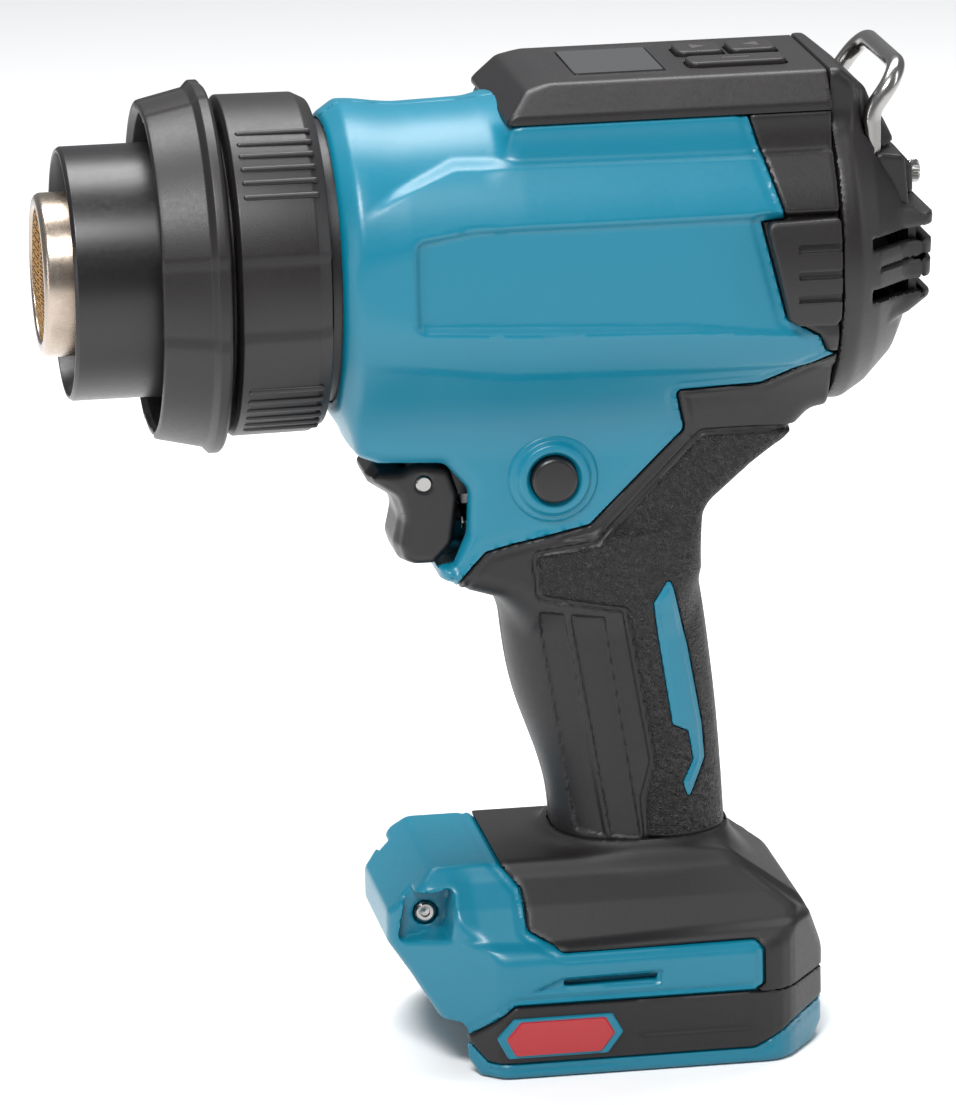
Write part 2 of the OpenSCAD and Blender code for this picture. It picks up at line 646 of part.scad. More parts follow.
module lock_collar() color(teal) difference() {
    union() {
        peg(lock_x, lock_z, lock_r + 5, -grip_b - 0.5, -neck_w / 2, 64);
        peg(lock_x, lock_z, lock_r + 3, -grip_b - 2, -grip_b - 0.5, 64);
        peg(lock_x, lock_z, lock_r + 1.6, -neck_w / 2, -neck_w / 2 + 5.9, 64);
    }
    peg(lock_x, lock_z, lock_r + run, -big, big, 64);
}

module control_board() color([0.1, 0.35, 0.2])
    translate([grip_x, 0, barrel_z - 85]) rotate([0, -lean, 0]) {
        box([board_span[0], -4, -30], [board_span[1], -2.4, 8]);
        box([board_span[0] + 1, -2.4, -26], [0, 5, -12]);
        box([1, -2.4, -24], [board_span[1] - 1, 3, -6]);
        translate([-3, 5, 1]) rotate([90, 0, 0]) cylinder(h = 7.4, r = 4, $fn = small_fn);
    }

// ---- Base ----

function base_side(i) = rounded([
    [nose_x + 18 + i, 0], [nose_x + 4.6 + i, 21], [nose_x + i, 27.5, 2], [nose_x + i, base_h - 11.2, 2],
    [nose_x + 10.6 + i / 2, base_h - i, 3], [tail_x - 22 - i / 2, base_h - i, 6],
    [tail_x - 4.6 - i, base_h - 13, 8], [tail_x - i, 21, 6], [tail_x - i, 3.5, 2], [tail_x - 3.5 - i, 0, 2]]);

function base_plan(i) = rounded([
    [nose_x - 1 + i, 17 - i, 3], [nose_x + 23 + i, base_w / 2 - i, 6], [tail_x - 12, base_w / 2 - i, 10],
    [tail_x + 1 - i, 20, 10], [tail_x + 1 - i, -20, 10], [tail_x - 12, -base_w / 2 + i, 10],
    [nose_x + 23 + i, -base_w / 2 + i, 6], [nose_x - 1 + i, -17 + i, 3]]);

function base_section(i) = rounded([
    [-base_w / 2 + i, -1], [-base_w / 2 + i, 27, 4], [-base_w / 2 + 10 + i, base_h - 8, 5],
    [-base_w / 2 + 19 + i, base_h - i, 4], [base_w / 2 - 19 - i, base_h - i, 4],
    [base_w / 2 - 10 - i, base_h - 8, 5], [base_w / 2 - i, 27, 4], [base_w / 2 - i, -1]]);

module base_solid(i, z0 = 0) intersection() {
    slab(base_side(i), -base_w, base_w);
    translate([0, 0, z0]) linear_extrude(big) polygon(base_plan(i));
    bar(base_section(i), nose_x - 5, tail_x + 5);
}

cover_front = -1.5;

// The coloured strip along each side, between the soft cover and the bumper.
function strip() = rounded([[cover_front - 1, 17], [cover_front - 1, 28.7], [53.5, 28.7, 2], [53.5, 17, 2]]);

module base_shell() color(teal) difference() {
    union() {
        intersection() {
            base_solid(bumper);
            box([cover_front - gap - 1, -big, -1], [big, big, big]);
        }
        intersection() {
            base_solid(0);
            union() {
                box([-big, -big, -1], [cover_front - gap, big, big]);
                slab(strip(), -big, big);
            }
        }
    }
    intersection() {
        base_solid(bumper + wall, slot_h + wall);
        box([nose_x + 4, -big, 0], [big, big, shelf_z - wall]);
    }
    box([-big, -slot_w / 2, -1], [tail_x - 10, slot_w / 2, slot_h]);
    for (s = [-1, 1]) {
        base_screw_path(s, head_r + gap, screw_r + gap);
        slab(rounded([[2.2, 20.4, 0.8], [9.4, 23, 0.8], [31.3, 23, 1], [31.3, 20.2, 1]]),
            s < 0 ? -big : base_w / 2 - bumper, s < 0 ? bumper - base_w / 2 : big);
    }
    translate([0, 0, -1]) grip_prism(skin + wall, shelf_z - wall, shelf_z + 2);
}

module base_screw_path(s, head, shank) {
    peg(nose_x + 9, base_h - 12, head, s < 0 ? -big : 15.5, s < 0 ? -15.5 : big);
    peg(nose_x + 9, base_h - 12, shank, s < 0 ? -16 : 6, s < 0 ? -6 : 16);
}

module base_screws() color(steel) for (s = [-1, 1]) {
    peg(nose_x + 9, base_h - 12, head_r, s < 0 ? -17.5 : 15.5, s < 0 ? -15.5 : 17.5);
    peg(nose_x + 9, base_h - 12, screw_r, s < 0 ? -15.5 : 8, s < 0 ? -8 : 15.5);
}

module base_cover() color(rubber_black) difference() {
    intersection() {
        base_solid(0);
        box([cover_front, -big, 29], [big, big, big]);
    }
    base_solid(bumper);
    grip_prism(skin - gap, 0, big);
}

// Soft bumpers along the foot, one on each side.
module base_bumpers() color(rubber_black) difference() {
    intersection() {
        base_solid(0);
        slab(rounded([[nose_x + 16, 8.6, 1], [cover_front - 3, 15.5, 1], [cover_front, 15.5],
            [tail_x - 14, 15.5, 1], [tail_x - 8, 8, 2], [tail_x - 16, 3.4, 2], [nose_x + 19.5, 3.4, 1]]),
            -big, big);
        box([cover_front, -big, 0], [big, big, big]);
    }
    base_solid(bumper);
}

module base_badges() color([0.75, 0.12, 0.15]) for (s = [-1, 1])
    slab(rounded([[-3.8, 10, 1], [-0.5, 13.8, 1], [18.5, 13.8, 1], [20.6, 10, 1], [17.6, 6, 1], [-1.7, 6, 1]]),
        s < 0 ? -base_w / 2 - 0.8 : base_w / 2, s < 0 ? -base_w / 2 : base_w / 2 + 0.8);

rail_back = tail_x - 10.5;

module rail_plate() color(black) {
    box([-4, -slot_w / 2 + gap, slot_h - 2], [rail_back, slot_w / 2 - gap, slot_h - gap]);
    for (s = [-1, 1]) bar([[s * (slot_w / 2 - gap), slot_h - 2], [s * (slot_w / 2 - gap), 1],
        [s * (slot_w / 2 - 4), 1], [s * (slot_w / 2 - 4), 4], [s * (slot_w / 2 - 1.6), 4],
        [s * (slot_w / 2 - 1.6), slot_h - 2]], -2, rail_back);
}

module terminal_block() color(black) difference() {
    box([34, -15, 3.5], [rail_back - 2, 15, slot_h - 2]);
    for (y = [-10, -5, 0, 5, 10]) box([33, y - 0.4, 4.4], [42, y + 0.4, slot_h - 1]);
}

module battery_contacts() color(brass) for (y = [-10, -5, 0, 5, 10])
    box([24, y - 0.4, 4.6], [42, y + 0.4, slot_h - 2]);

// ---- Screws that close the housing ----

module housing_screws() color(steel) for (p = post_places) {
    peg(p[0], p[1], screw_r, -9, 11.2);
    difference() {
        peg(p[0], p[1], head_r, 11.2, 13.4);
        peg(p[0], p[1], 1.3, 12.4, 14, 6);
    }
}

housing_left();
housing_right();
grip_left();
grip_right();
grip_inserts();
side_pads();
rear_cover();
hook_block();
hanging_hook();
hook_screw();
display_panel();
display_window();
display_module();
panel_board();
mode_key();
up_key();
down_key();
heat_guard();
lock_ring();
nozzle_cover();
outlet_tube();
tube_flange();
outlet_mesh();
mica_sleeve();
heater_core();
heating_coils();
thermocouple();
air_guide();
motor();
fan_wheel();
motor_shaft();
trigger();
trigger_pin();
trigger_switch();
switch_plunger();
trigger_spring();
lock_button();
lock_collar();
control_board();
base_shell();
base_cover();
base_bumpers();
base_badges();
rail_plate();
terminal_block();
battery_contacts();
housing_screws();
base_screws();
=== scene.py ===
"""Looks of a cordless heat gun: moulded housing, soft grips, steel outlet, panel, hook and battery base.

Sizes inside the part builders are millimetres; meshes are written in metres.
"""

import logging
import math
from dataclasses import dataclass
from enum import Enum
from typing import Callable, Sequence

import bmesh
import bpy
import numpy as np
from mathutils import Matrix, Vector


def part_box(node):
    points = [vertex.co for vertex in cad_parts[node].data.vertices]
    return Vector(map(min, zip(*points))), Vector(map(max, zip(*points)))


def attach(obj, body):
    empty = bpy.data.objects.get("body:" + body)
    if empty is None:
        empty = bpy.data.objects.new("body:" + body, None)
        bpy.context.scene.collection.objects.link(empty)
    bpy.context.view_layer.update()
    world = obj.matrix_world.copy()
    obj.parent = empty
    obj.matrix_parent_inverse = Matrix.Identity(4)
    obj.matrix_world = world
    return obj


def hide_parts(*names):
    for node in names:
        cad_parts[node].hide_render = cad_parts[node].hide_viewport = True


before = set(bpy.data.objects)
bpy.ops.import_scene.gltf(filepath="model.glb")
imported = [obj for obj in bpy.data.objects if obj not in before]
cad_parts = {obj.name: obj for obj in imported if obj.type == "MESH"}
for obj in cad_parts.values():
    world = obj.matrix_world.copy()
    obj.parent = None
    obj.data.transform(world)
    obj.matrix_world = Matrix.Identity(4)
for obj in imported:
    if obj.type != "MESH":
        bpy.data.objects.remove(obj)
LOG = logging.getLogger("heat_gun")
MM = 0.001
AXIS = 179.5
Array = np.ndarray
Field = Callable[[Array, Array, Array], Array]


# ---------------------------------------------------------------- numbers


def smooth_max(a: Array, b: Array, r: float | Array) -> Array:
    """The larger of two distances, blended over r."""
    h = np.clip(0.5 + 0.5 * (a - b) / r, 0, 1)
    return b + (a - b) * h + r * h * (1 - h)


def smooth_min(a: Array, b: Array, r: float) -> Array:
    """The smaller of two distances, blended over r."""
    return -smooth_max(-a, -b, r)


def carve(body: Array, tool: Array, r: float = 0.7) -> Array:
    """The body with a tool's shape taken out and the edge softened."""
    return smooth_max(body, -tool, r)


def largest(*values: Array) -> Array:
    """The largest of several distances."""
    out = values[0]
    for value in values[1:]:
        out = np.maximum(out, value)
    return out


def ramp(t: Array) -> Array:
    """A smooth step from 0 to 1."""
    t = np.clip(t, 0, 1)
    return t * t * (3 - 2 * t)


def groove(distance: Array, at: float, half: float, depth: float) -> Array:
    """Depth of a V-shaped groove that runs at a set distance from an edge."""
    return depth * np.clip(1 - np.abs(distance - at) / half, 0, 1)


def linear(colour: Sequence[float]) -> tuple[float, float, float, float]:
    """Screen colour (0-255) to linear light with alpha."""
    parts = [c / 255 for c in colour]
    return (*(c / 12.92 if c < 0.04045 else ((c + 0.055) / 1.055) ** 2.4 for c in parts), 1.0)


def rounded(points: Sequence[Sequence[float]], steps: int = 4) -> list[tuple[float, float]]:
    """Rounds the corners that carry a third number, their radius."""
    out: list[tuple[float, float]] = []
    count = len(points)
    for i, point in enumerate(points):
        corner = np.array(point[:2], float)
        if len(point) == 2:
            out.append(tuple(corner))
            continue
        a = np.array(points[i - 1][:2], float) - corner
        b = np.array(points[(i + 1) % count][:2], float) - corner
        la, lb = np.hypot(*a), np.hypot(*b)
        a, b = a / la, b / lb
        half = math.acos(float(np.clip(a @ b, -1, 1))) / 2
        if half > 1.5:
            out.append(tuple(corner))
            continue
        reach = min(point[2] / math.tan(half), 0.48 * la, 0.48 * lb)
        radius = reach * math.tan(half)
        centre = corner + (a + b) / np.hypot(*(a + b)) * radius / math.sin(half)
        start, end = corner + a * reach - centre, corner + b * reach - centre
        for k in range(steps + 1):
            v = start * (1 - k / steps) + end * k / steps
            out.append(tuple(centre + v * radius / np.hypot(*v)))
    return out


class Outline:
    """A closed outline in a plane that answers with the signed distance to it."""

    def __init__(self, points: Sequence[Sequence[float]]) -> None:
        """Args: points: corners, each with an optional radius."""
        self.points = rounded(points)

    def __call__(self, u: Array, v: Array) -> Array:
        """Distance from (u, v), negative inside."""
        best, odd = np.float64(1e9), np.bool_(False)
        for (au, av), (bu, bv) in zip(self.points, self.points[1:] + self.points[:1]):
            eu, ev = bu - au, bv - av
            wu, wv = u - au, v - av
            t = np.clip((wu * eu + wv * ev) / max(eu * eu + ev * ev, 1e-9), 0, 1)
            best = np.minimum(best, (wu - t * eu) ** 2 + (wv - t * ev) ** 2)
            odd = odd ^ (((av > v) != (bv > v)) & (u < eu * (v - av) / (ev or 1.0) + au))
        return np.where(odd, -1.0, 1.0) * np.sqrt(best)


# ---------------------------------------------------------------- meshes


@dataclass
class Shape:
    """Points in millimetres and faces, ready to become a piece."""

    points: Array
    faces: list | Array

    def mirrored(self) -> "Shape":
        """The same shape on the other side of the gun."""
        return Shape(self.points * (1, -1, 1), [list(f)[::-1] for f in self.faces])

    def plus(self, other: "Shape") -> "Shape":
        """Both shapes as one."""
        shift = len(self.points)
        faces = [list(f) for f in self.faces] + [[i + shift for i in f] for f in other.faces]
        return Shape(np.vstack((self.points, other.points)), faces)

    def moved(self, matrix: Matrix) -> "Shape":
        """The shape under a transform."""
        return Shape(np.array([matrix @ Vector(p) for p in self.points]), self.faces)


class Net:
    """Turns a signed distance field into a smooth closed skin of quads."""

    def __init__(self, low: Sequence[float], high: Sequence[float], step: float) -> None:
        """Args: low, high: corners of the volume in mm; step: cell size in mm."""
        self.step = step * 1.0
        self.low = np.array(low, float)
        self.count = [int(math.ceil((h - l) / self.step)) + 1 for l, h in zip(low, high)]

    def build(self, field: Field) -> Shape:
        """Samples the field, places one point per crossed cell and settles it on the surface."""
        axes = [self.low[a] + self.step * np.arange(self.count[a]) for a in range(3)]
        value = np.broadcast_to(
            field(axes[0][:, None, None], axes[1][None, :, None], axes[2][None, None, :]), self.count
        ).astype(np.float32)
        value = np.where(value == 0, np.float32(1e-5), value)
        for a in range(3):
            edge = [slice(None)] * 3
            for end in (0, -1):
                edge[a] = end
                value[tuple(edge)] = np.maximum(value[tuple(edge)], 0.05)
        inside = value < 0
        corners = np.zeros([c - 1 for c in self.count], np.int8)
        for o in np.ndindex(2, 2, 2):
            corners += inside[tuple(slice(o[a], o[a] + self.count[a] - 1) for a in range(3))]
        active = (corners > 0) & (corners < 8)
        ids = np.full(active.shape, -1, np.int64)
        ids[active] = np.arange(int(active.sum()))
        cell = np.argwhere(active)
        total, hits = np.zeros((len(cell), 3)), np.zeros(len(cell))
        for a in range(3):
            b, c = (a + 1) % 3, (a + 2) % 3
            for ob, oc in np.ndindex(2, 2):
                start = np.zeros(3, int)
                start[b], start[c] = ob, oc
                end = start.copy()
                end[a] = 1
                va = value[tuple((cell + start).T)].astype(float)
                vb = value[tuple((cell + end).T)].astype(float)
                crossed = (va < 0) != (vb < 0)
                t = np.where(crossed, va / np.where(crossed, va - vb, 1), 0)
                total += crossed[:, None] * (start + t[:, None] * (end - start))
                hits += crossed
        points = self.low + self.step * (cell + total / hits[:, None])
        points = self._settle(points, field)
        return Shape(points, self._quads(inside, ids))

    def _settle(self, points: Array, field: Field) -> Array:
        """Moves the points on to the surface along the field's slope."""
        eps = 0.08 * self.step
        for _ in range(2):
            x, y, z = points.T
            here = field(x, y, z)
            slope = np.stack(
                [
                    field(x + eps, y, z) - here,
                    field(x, y + eps, z) - here,
                    field(x, y, z + eps) - here,
                ],
                1,
            ) / eps
            size = np.maximum((slope**2).sum(1), 0.15)
            move = -here[:, None] * slope / size[:, None]
            length = np.maximum(np.linalg.norm(move, axis=1, keepdims=True), 1e-9)
            points = points + move * np.minimum(1, 0.35 * self.step / length)
        return points

    def _quads(self, inside: Array, ids: Array) -> Array:
        """One quad for every crossed grid edge, facing outwards."""
        quads = []
        for a in range(3):
            b, c = (a + 1) % 3, (a + 2) % 3
            low = [slice(1, n - 1) for n in self.count]
            high = list(low)
            low[a], high[a] = slice(0, self.count[a] - 1), slice(1, self.count[a])
            first, second = inside[tuple(low)], inside[tuple(high)]
            at = np.argwhere(first != second)
            if not len(at):
                continue
            out = first[tuple(at.T)]
            at = at + [0 if k == a else 1 for k in range(3)]
            ring = []
            for ob, oc in ((-1, -1), (0, -1), (0, 0), (-1, 0)):
                near = at.copy()
                near[:, b] += ob
                near[:, c] += oc
                ring.append(ids[tuple(near.T)])
            quad = np.stack(ring, 1)
            quads.append(np.where(out[:, None], quad, quad[:, ::-1]))
        return np.vstack(quads)


class Axis(Enum):
    """The line that a turned shape goes round."""

    ALONG = "x"
    ACROSS = "y"


def turned(
    profile: Sequence[Sequence[float]],
    axis: Axis = Axis.ALONG,
    centre: tuple[float, float] = (0.0, AXIS),
    sides: int = 128,
    dent: Callable[[float, float, float], float] | None = None,
) -> Shape:
    """Turns a closed profile round an axis.

    Args:
        profile: corners (radius, place along the axis) with optional corner radii.
        axis: along the gun, or across it (places then count outwards on the left).
        centre: the other two coordinates of the axis.
        sides: number of segments round.
        dent: optional depth taken off at (angle, place, radius).

    Returns:
        The closed shape.
    """
    ring = rounded(profile)
    points, faces = [], []
    for i in range(sides):
        angle = 2 * math.pi * i / sides
        for r, place in ring:
            r = r - (dent(angle, place, r) if dent else 0.0)
            u, v = r * math.cos(angle), r * math.sin(angle)
            if axis is Axis.ALONG:
                points.append((place, centre[0] - u, centre[1] + v))
            else:
                points.append((centre[0] + u, -place, centre[1] + v))
    k = len(ring)
    for i in range(sides):
        j = (i + 1) % sides
        for a in range(k):
            b = (a + 1) % k
            faces.append([i * k + a, i * k + b, j * k + b, j * k + a])
    return Shape(np.array(points), faces)


def prism(points: Sequence[Sequence[float]], low: float, high: float, bevel: float = 0.4) -> Shape:
    """An outline in the X-Z plane raised across the gun, with its far edge bevelled."""
    ring = rounded(points)
    middle = np.mean(ring, axis=0)
    spokes = np.array(ring) - middle
    reach = np.maximum(np.hypot(*spokes.T), 1)
    shrunk = [tuple(p) for p in middle + spokes * (1 - bevel / reach)[:, None]]
    rows = [(ring, low), (ring, high - bevel if high > low else high + bevel), (shrunk, high)]
    out = [(x, y, z) for row, y in rows for x, z in row]
    k = len(ring)
    faces = []
    for row in (0, k):
        for i in range(k):
            j = (i + 1) % k
            faces.append([row + i, row + j, row + k + j, row + k + i])
    faces += [list(range(k))[::-1], [2 * k + i for i in range(k)]]
    return Shape(np.array(out), faces)


def swept(path: Array, radius: float, sides: int = 16) -> Shape:
    """A round wire along a path of points."""
    path = np.array(path, float)
    points, faces = [], []
    side = None
    for i in range(len(path)):
        run = path[min(i + 1, len(path) - 1)] - path[max(i - 1, 0)]
        run /= np.linalg.norm(run)
        if side is None:
            side = np.cross(run, (1.0, 0.0, 0.0))
        side = side - run * (side @ run)
        side /= np.linalg.norm(side)
        up = np.cross(run, side)
        for j in range(sides):
            a = 2 * math.pi * j / sides
            points.append(path[i] + radius * (side * math.cos(a) + up * math.sin(a)))
    for i in range(len(path) - 1):
        for j in range(sides):
            k = (j + 1) % sides
            faces.append([i * sides + j, i * sides + k, (i + 1) * sides + k, (i + 1) * sides + j])
    last = (len(path) - 1) * sides
    faces += [list(range(sides))[::-1], [last + j for j in range(sides)]]
    return Shape(np.array(points), faces)


# ---------------------------------------------------------------- nodes and finishes


class Value:
    """One node output; arithmetic on it adds maths nodes."""

    def __init__(self, nodes: "Nodes", socket: bpy.types.NodeSocket) -> None:
        """Args: nodes: the tree's builder; socket: the output it stands for."""
        self.nodes = nodes
        self.socket = socket

    def op(self, operation: str, *others: "Value | float") -> "Value":
        """A maths node with this value first."""
        return self.nodes.math(operation, self, *others)

    def __add__(self, other: "Value | float") -> "Value":
        return self.op("ADD", other)

    def __sub__(self, other: "Value | float") -> "Value":
        return self.op("SUBTRACT", other)

    def __mul__(self, other: "Value | float") -> "Value":
        return self.op("MULTIPLY", other)

    def __truediv__(self, other: "Value | float") -> "Value":
        return self.op("DIVIDE", other)

    def __rsub__(self, other: float) -> "Value":
        return self.nodes.math("SUBTRACT", other, self)

    __radd__ = __add__
    __rmul__ = __mul__


class Nodes:
    """Adds and wires nodes in one tree."""

    def __init__(self, tree: bpy.types.NodeTree) -> None:
        """Args: tree: a shader or geometry tree, which is emptied."""
        self.tree = tree
        tree.nodes.clear()

    def add(
        self, kind: str, settings: dict | None = None, inputs: dict | None = None, out: int | str = 0
    ) -> Value:
        """Adds a node.

        Args:
            kind: the node's type.
            settings: properties set before the sockets.
            inputs: values or links by socket name or number.
            out: which output to hand back.

        Returns:
            That output.
        """
        node = self.tree.nodes.new(kind)
        for key, value in (settings or {}).items():
            setattr(node, key, value)
        for key, value in (inputs or {}).items():
            if isinstance(value, Value):
                self.tree.links.new(value.socket, node.inputs[key])
            else:
                node.inputs[key].default_value = value
        return Value(self, node.outputs[out]) if node.outputs else Value(self, None)

    def math(self, operation: str, *values: "Value | float") -> Value:
        """A maths node over the values."""
        return self.add("ShaderNodeMath", {"operation": operation}, dict(enumerate(values)))

    def other(self, value: Value, out: int | str) -> Value:
        """Another output of the node behind a value."""
        return Value(self, value.socket.node.outputs[out])


class Surface(Enum):
    """How a finish's relief is made."""

    GRAIN = "grain"
    LEATHER = "leather"
    BRUSHED = "brushed"
    SMOOTH = "smooth"


@dataclass(frozen=True)
class Finish:
    """A material by plain sizes: colours 0-255, relief in millimetres."""

    name: str
    colour: tuple[int, int, int]
    roughness: float
    metallic: float = 0.0
    coat: float = 0.0
    surface: Surface = Surface.GRAIN
    size: float = 0.35
    depth: float = 0.02
    mottle: float = 0.06
    # Colour mixed in along X; on the outlet tube it is heat tint together with painted dark reflection.
    heat_and_reflection_tint: tuple[int, int, int] | None = None
    heat_and_reflection_tint_at: tuple[float, float] = (0.0, 1.0)

    def build(self) -> bpy.types.Material:
        """Makes the material, or hands back the one already made."""
        if self.name in bpy.data.materials:
            return bpy.data.materials[self.name]
        material = bpy.data.materials.new(self.name)
        material.use_nodes = True
        n = Nodes(material.node_tree)
        place = n.add("ShaderNodeTexCoord", out="Object")
        cloud = n.add("ShaderNodeTexNoise", None, {"Vector": place, "Scale": 60.0, "Detail": 4.0})
        colour = linear(self.colour)
        dark = tuple(c * (1 - self.mottle) for c in colour[:3]) + (1.0,)
        light = tuple(min(1.0, c * (1 + self.mottle)) for c in colour[:3]) + (1.0,)
        base = n.add("ShaderNodeMix", {"data_type": "RGBA"}, {0: cloud, 6: dark, 7: light}, out=2)
        # Painted dark reflection laid over the steel's own heat tint: the colour turns darker and browner from
        # the tip back towards the nozzle cover, in random patches.
        if self.heat_and_reflection_tint:
            along = n.add("ShaderNodeSeparateXYZ", None, {0: place})
            patch = n.add(
                "ShaderNodeTexNoise", None, {"Vector": place, "Scale": 240.0, "Detail": 6.0, "Roughness": 0.7}
            )
            start, end = (v * MM for v in self.heat_and_reflection_tint_at)
            amount = (along - start) / (end - start)
            amount = n.add("ShaderNodeClamp", None, {0: amount * 0.75 + (patch - 0.5) * 0.9})
            heat_and_reflection_tint = linear(self.heat_and_reflection_tint)
            base = n.add("ShaderNodeMix", {"data_type": "RGBA"}, {0: amount, 6: base, 7: heat_and_reflection_tint}, out=2)
        fine = n.add("ShaderNodeTexNoise", None, {"Vector": place, "Scale": 900.0, "Detail": 3.0})
        rough = fine * 0.14 + cloud * 0.08 + (self.roughness - 0.11)
        shader = {
            "Base Color": base,
            "Roughness": rough,
            "Metallic": self.metallic,
            "Coat Weight": self.coat,
        }
        relief = self._relief(n, place)
        if relief is not None:
            shader["Normal"] = relief
        bsdf = n.add("ShaderNodeBsdfPrincipled", None, shader)
        n.add("ShaderNodeOutputMaterial", None, {"Surface": bsdf})
        return material

    def _relief(self, n: Nodes, place: Value) -> Value | None:
        """The bump for this surface kind."""
        scale = 1000.0 / self.size
        if self.surface is Surface.SMOOTH:
            height = n.add("ShaderNodeTexNoise", None, {"Vector": place, "Scale": 90.0, "Detail": 2.0})
        elif self.surface is Surface.BRUSHED:
            stretched = n.add("ShaderNodeMapping", None, {"Vector": place, "Scale": (0.06, 1.0, 1.0)})
            height = n.add("ShaderNodeTexNoise", None, {"Vector": stretched, "Scale": scale, "Detail": 4.0})
        elif self.surface is Surface.LEATHER:
            warped = n.add(
                "ShaderNodeTexNoise", None, {"Vector": place, "Scale": scale, "Detail": 2.0, "Distortion": 1.6}
            )
            height = (warped - 0.5).op("ABSOLUTE") * 2.0
        else:
            height = n.add("ShaderNodeTexNoise", None, {"Vector": place, "Scale": scale, "Detail": 3.0})
        return n.add("ShaderNodeBump", None, {"Strength": 1.0, "Distance": self.depth * MM, "Height": height})


TEAL = Finish("teal moulding", (0, 108, 132), 0.36, size=0.30, depth=0.012, mottle=0.04)
CHARCOAL = Finish("charcoal plastic", (17, 13, 15), 0.44, size=0.30, depth=0.03, mottle=0.08)
RUBBER = Finish("soft grip rubber", (16, 12, 14), 0.50, size=0.26, depth=0.03, mottle=0.08)
LEATHER = Finish("leather grain rubber", (17, 13, 15), 0.50, surface=Surface.LEATHER, size=1.5, depth=1.3)
SATIN = Finish("satin black", (13, 11, 13), 0.34, surface=Surface.BRUSHED, size=0.5, depth=0.003)
TRIGGER = Finish("trigger plastic", (15, 12, 14), 0.38, size=0.35, depth=0.015)
KEY = Finish("key rubber", (22, 18, 20), 0.5, depth=0.01)
MARK = Finish("key mark", (70, 66, 68), 0.4, depth=0.003)
# The tint is partly the tube's own heat tint and partly painted dark reflection, growing from the tip at -97
# mm back to -86 mm.
HOT = Finish(
    "heated steel", (172, 160, 148), 0.27, 1.0, surface=Surface.BRUSHED, size=0.7, depth=0.004,
    heat_and_reflection_tint=(120, 98, 78), heat_and_reflection_tint_at=(-97.0, -86.0),
)
WEAVE = Finish("woven steel", (150, 116, 72), 0.34, 1.0, size=0.6, depth=0.004, mottle=0.35)
STEEL = Finish("bright steel", (158, 156, 154), 0.22, 1.0, surface=Surface.SMOOTH, depth=0.01)
LCD = Finish("display grey", (118, 128, 120), 0.5, depth=0.004)
GLASS = Finish("display cover", (30, 32, 32), 0.14, coat=0.8, surface=Surface.SMOOTH, depth=0.004)
BADGE = Finish("red badge", (160, 8, 22), 0.32, coat=0.5, surface=Surface.SMOOTH, depth=0.01, mottle=0.03)
BOARD = Finish("circuit board", (24, 92, 52), 0.45, size=1.2, depth=0.02, mottle=0.2)
MICA = Finish("mica sheet", (200, 184, 150), 0.5, size=1.0, depth=0.03, mottle=0.15)
WIRE = Finish("heating wire", (150, 140, 135), 0.4, 1.0, depth=0.006)
MOTOR = Finish("motor can", (178, 180, 184), 0.33, 1.0, surface=Surface.BRUSHED, depth=0.006)
BRASS = Finish("contact brass", (206, 170, 96), 0.28, 1.0, depth=0.004)
FLOOR = Finish("studio floor", (246, 246, 246), 0.9, size=40.0, depth=0.01, mottle=0.005)


# ---------------------------------------------------------------- pieces


class Maker:
    """Adds finished pieces to the scene and ties them to the frame."""

    def add(
        self,
        name: str,
        shape: Shape,
        finish: Finish,
        slot: str,
        replaces: Sequence[str] = (),
        body: str = "housing",
        crease: float = 38.0,
        second: tuple[Finish, Callable[[Array], Array]] | None = None,
    ) -> bpy.types.Object:
        """Makes one piece.

        Args:
            name: the piece's name.
            shape: points in mm and faces.
            finish: its material.
            slot: the record's material slot; not used.
            replaces: CAD nodes it stands for.
            body: the body it rides on.
            crease: edges sharper than this many degrees stay sharp.
            second: another finish and the test, on face centres in mm, of where it goes.

        Returns:
            The object.
        """
        mesh = bpy.data.meshes.new(name)
        self.fill(mesh, shape)
        mesh.materials.append(finish.build())
        if second:
            mesh.materials.append(second[0].build())
            centre = np.zeros(len(mesh.polygons) * 3, np.float32)
            mesh.polygons.foreach_get("center", centre)
            chosen = second[1](centre.reshape(-1, 3) / MM)
            mesh.polygons.foreach_set("material_index", chosen.astype(np.int32))
        mesh.polygons.foreach_set("use_smooth", np.ones(len(mesh.polygons), bool))
        mesh.set_sharp_from_angle(angle=math.radians(crease))
        obj = bpy.data.objects.new(name, mesh)
        bpy.context.scene.collection.objects.link(obj)
        return self.tie(obj, replaces, body)

    def tie(self, obj: bpy.types.Object, replaces: Sequence[str], body: str) -> bpy.types.Object:
        """Makes a piece ride on its body and stand for its nodes."""
        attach(obj, body)
        if replaces:
            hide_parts(*replaces)
        LOG.info("%s: %d faces", obj.name, len(obj.data.polygons))
        return obj

    def fill(self, mesh: bpy.types.Mesh, shape: Shape) -> None:
        """Writes points and faces, with normals facing out."""
        points = np.asarray(shape.points, np.float32) * MM
        if isinstance(shape.faces, np.ndarray):
            mesh.vertices.add(len(points))
            mesh.vertices.foreach_set("co", points.ravel())
            mesh.loops.add(shape.faces.size)
            mesh.loops.foreach_set("vertex_index", shape.faces.astype(np.int32).ravel())
            mesh.polygons.add(len(shape.faces))
            mesh.polygons.foreach_set("loop_start", np.arange(0, shape.faces.size, 4, dtype=np.int32))
            mesh.update(calc_edges=True)
            mesh.validate()
            return
        mesh.from_pydata(points.tolist(), [], [list(map(int, f)) for f in shape.faces])
        work = bmesh.new()
        work.from_mesh(mesh)
        bmesh.ops.remove_doubles(work, verts=work.verts, dist=1e-7)
        bmesh.ops.recalc_face_normals(work, faces=work.faces)
        work.to_mesh(mesh)
        work.free()
        mesh.update()


